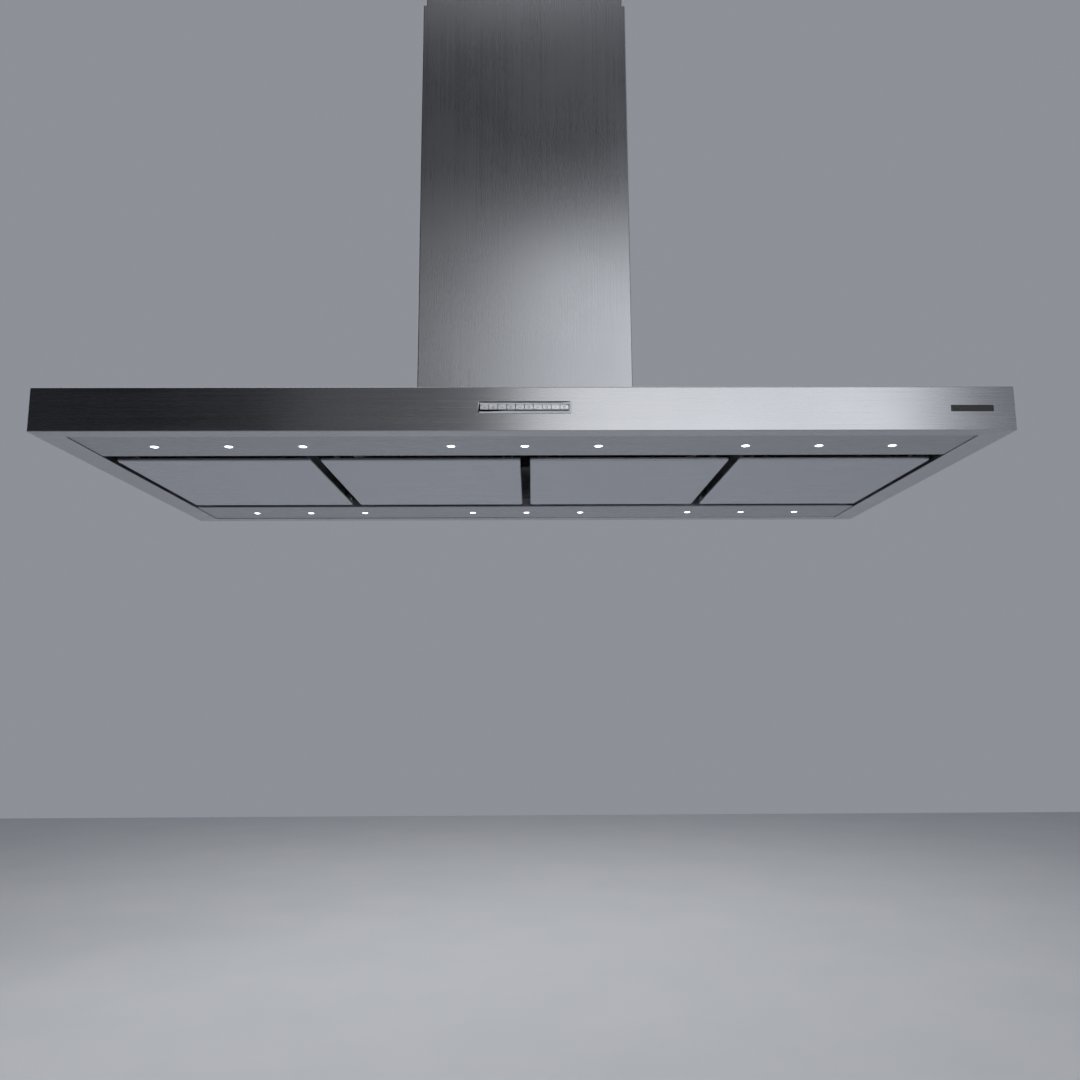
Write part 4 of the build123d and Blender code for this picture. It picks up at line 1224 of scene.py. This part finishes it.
@dataclass
class Studio:
    """Plain pale floor, soft lights and the camera below the canopy's front edge."""

    floor_drop: float = 1.65            # floor below the canopy's underside
    floor_reach: float = 9.0
    camera_back: float = 1.389
    camera_right: float = 0.007
    camera_drop: float = 0.309
    pitch: float = 9.15
    yaw: float = -0.59
    roll: float = -0.27
    lens: float = 30.96
    sensor: float = 36.0                # width of the film, in the lens's millimetres
    softbox_back: float = 3.6
    softbox_rise: float = 0.78
    room_colour: str = "#c9cdd6"
    room_light: float = 0.46
    room_dark: float = 0.02
    dark_way: tuple[float, float, float] = (-0.42, -0.80, 0.42)
    dark_edge: float = 0.35             # cosine of the angle where the dark side ends
    dark_core: float = 0.97             # cosine of the angle where it is darkest

    def floor(self, underside: float) -> None:
        """Lays the floor: one level square in matt paint.

        Args:
            underside: Z of the canopy's underside.
        """
        reach, z = self.floor_reach, underside - self.floor_drop
        mesh = bpy.data.meshes.new("floor")
        square = [(-reach, -reach, z), (reach, -reach, z), (reach, reach, z), (-reach, reach, z)]
        mesh.from_pydata(square, [], [(0, 1, 2, 3)])
        mesh.materials.append(FLOOR_PAINT.build())
        add_object("floor", mesh)

    def area(self, name: str, place: Sequence[float], aim: Sequence[float],
             size: tuple[float, float], energy: float) -> None:
        """Hangs one rectangular soft light.

        Args:
            name: Name of the light.
            place: Where it hangs.
            aim: Point that it faces.
            size: Width and height.
            energy: Power in watts.
        """
        data = bpy.data.lights.new(name, "AREA")
        data.shape = "RECTANGLE"
        data.size, data.size_y = size
        data.energy = energy
        lamp = add_object(name, data)
        lamp.location = place
        lamp.rotation_euler = (Vector(aim) - Vector(place)).to_track_quat("-Z", "Y").to_euler()

    def lights(self, underside: float) -> None:
        """Hangs the softboxes in front, whose mirror images shade the fascia, and the fills.

        Args:
            underside: Z of the canopy's underside.
        """
        middle = (0.0, 0.0, underside + 0.2)
        distance, front = -self.softbox_back, underside + self.softbox_rise
        for name, x, size, energy in (
                ("front_softbox", 1.0, (2.05, 2.7), 23.0), ("front_left_softbox", -0.62, (1.1, 2.2), 0.8)):
            self.area(name, (x, distance, front), (x, 0.0, front), size, energy)
        self.area("key_softbox", (0.0, -6.0, underside + 7.1), middle, (2.2, 1.6), 17.0)
        self.area("overhead", (-0.4, 1.2, 2.6), (0.0, 0.6, underside), (5.2, 4.8), 55.0)
        self.area("rear_fill", (-2.4, 3.2, underside + 1.2), middle, (3.0, 2.8), 15.0)
        self.area("floor_wash", (0.0, 4.6, 1.0), (0.0, 5.0, -3.0), (6.0, 4.0), 62.0)

    def world(self) -> None:
        """Fills the room with soft grey light that has one dark, soft-edged side at the front left."""
        world = bpy.data.worlds.new("studio")
        world.use_nodes = True
        tree = world.node_tree
        tree.nodes.clear()
        place = add_node(tree, "ShaderNodeTexCoord")
        nearness = add_node(tree, "ShaderNodeVectorMath", {
            0: place.outputs["Generated"], 1: Vector(self.dark_way).normalized()}, operation="DOT_PRODUCT")
        level = add_node(tree, "ShaderNodeMapRange", {
            "Value": nearness.outputs["Value"], "From Min": self.dark_edge, "From Max": self.dark_core,
            "To Min": self.room_light, "To Max": self.room_dark}, interpolation_type="SMOOTHSTEP")
        background = add_node(tree, "ShaderNodeBackground", {
            "Color": linear(self.room_colour), "Strength": level.outputs[0]})
        add_node(tree, "ShaderNodeOutputWorld", {"Surface": background.outputs["Background"]})
        bpy.context.scene.world = world

    def camera(self, underside: float) -> None:
        """Sets the camera below the canopy's front edge, looking slightly up.

        Args:
            underside: Z of the canopy's underside.
        """
        data = bpy.data.cameras.new("camera")
        data.lens = self.lens
        data.sensor_width = self.sensor
        camera = add_object("camera", data)
        camera.location = (self.camera_right, -self.camera_back, underside - self.camera_drop)
        tilt = Euler((math.radians(90 + self.pitch), 0.0, math.radians(self.yaw)), "XYZ").to_matrix()
        turn = Euler((0.0, 0.0, math.radians(self.roll)), "XYZ").to_matrix()
        camera.rotation_euler = (tilt @ turn).to_euler()
        bpy.context.scene.camera = camera

    def build(self) -> None:
        """Makes the floor, the lights, the world and the camera."""
        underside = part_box("canopy_shell")[0].z
        self.floor(underside)
        self.world()
        self.lights(underside)
        self.camera(underside)
        bpy.context.scene.view_settings.view_transform = "Standard"


def corners(bounds: tuple[Vector, Vector]) -> list[list[float]]:
    """Turns the corners of a box into plain lists.

    Args:
        bounds: Lowest and highest corner.

    Returns:
        The same corners, as plain lists.
    """
    return [list(corner) for corner in bounds]


def main() -> None:
    """Builds the sub-assemblies in order."""
    logging.basicConfig(level=logging.INFO, format="%(name)s: %(message)s")
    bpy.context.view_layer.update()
    wardrobe = Wardrobe()
    for assembly in (Canopy, LightStrips, SuctionPanels, Chimney, ControlCluster, FrameParts):
        LOG.info("building %s", assembly.__name__)
        assembly(wardrobe).build()
    Studio().build()


if __name__ == "__main__":
    main()
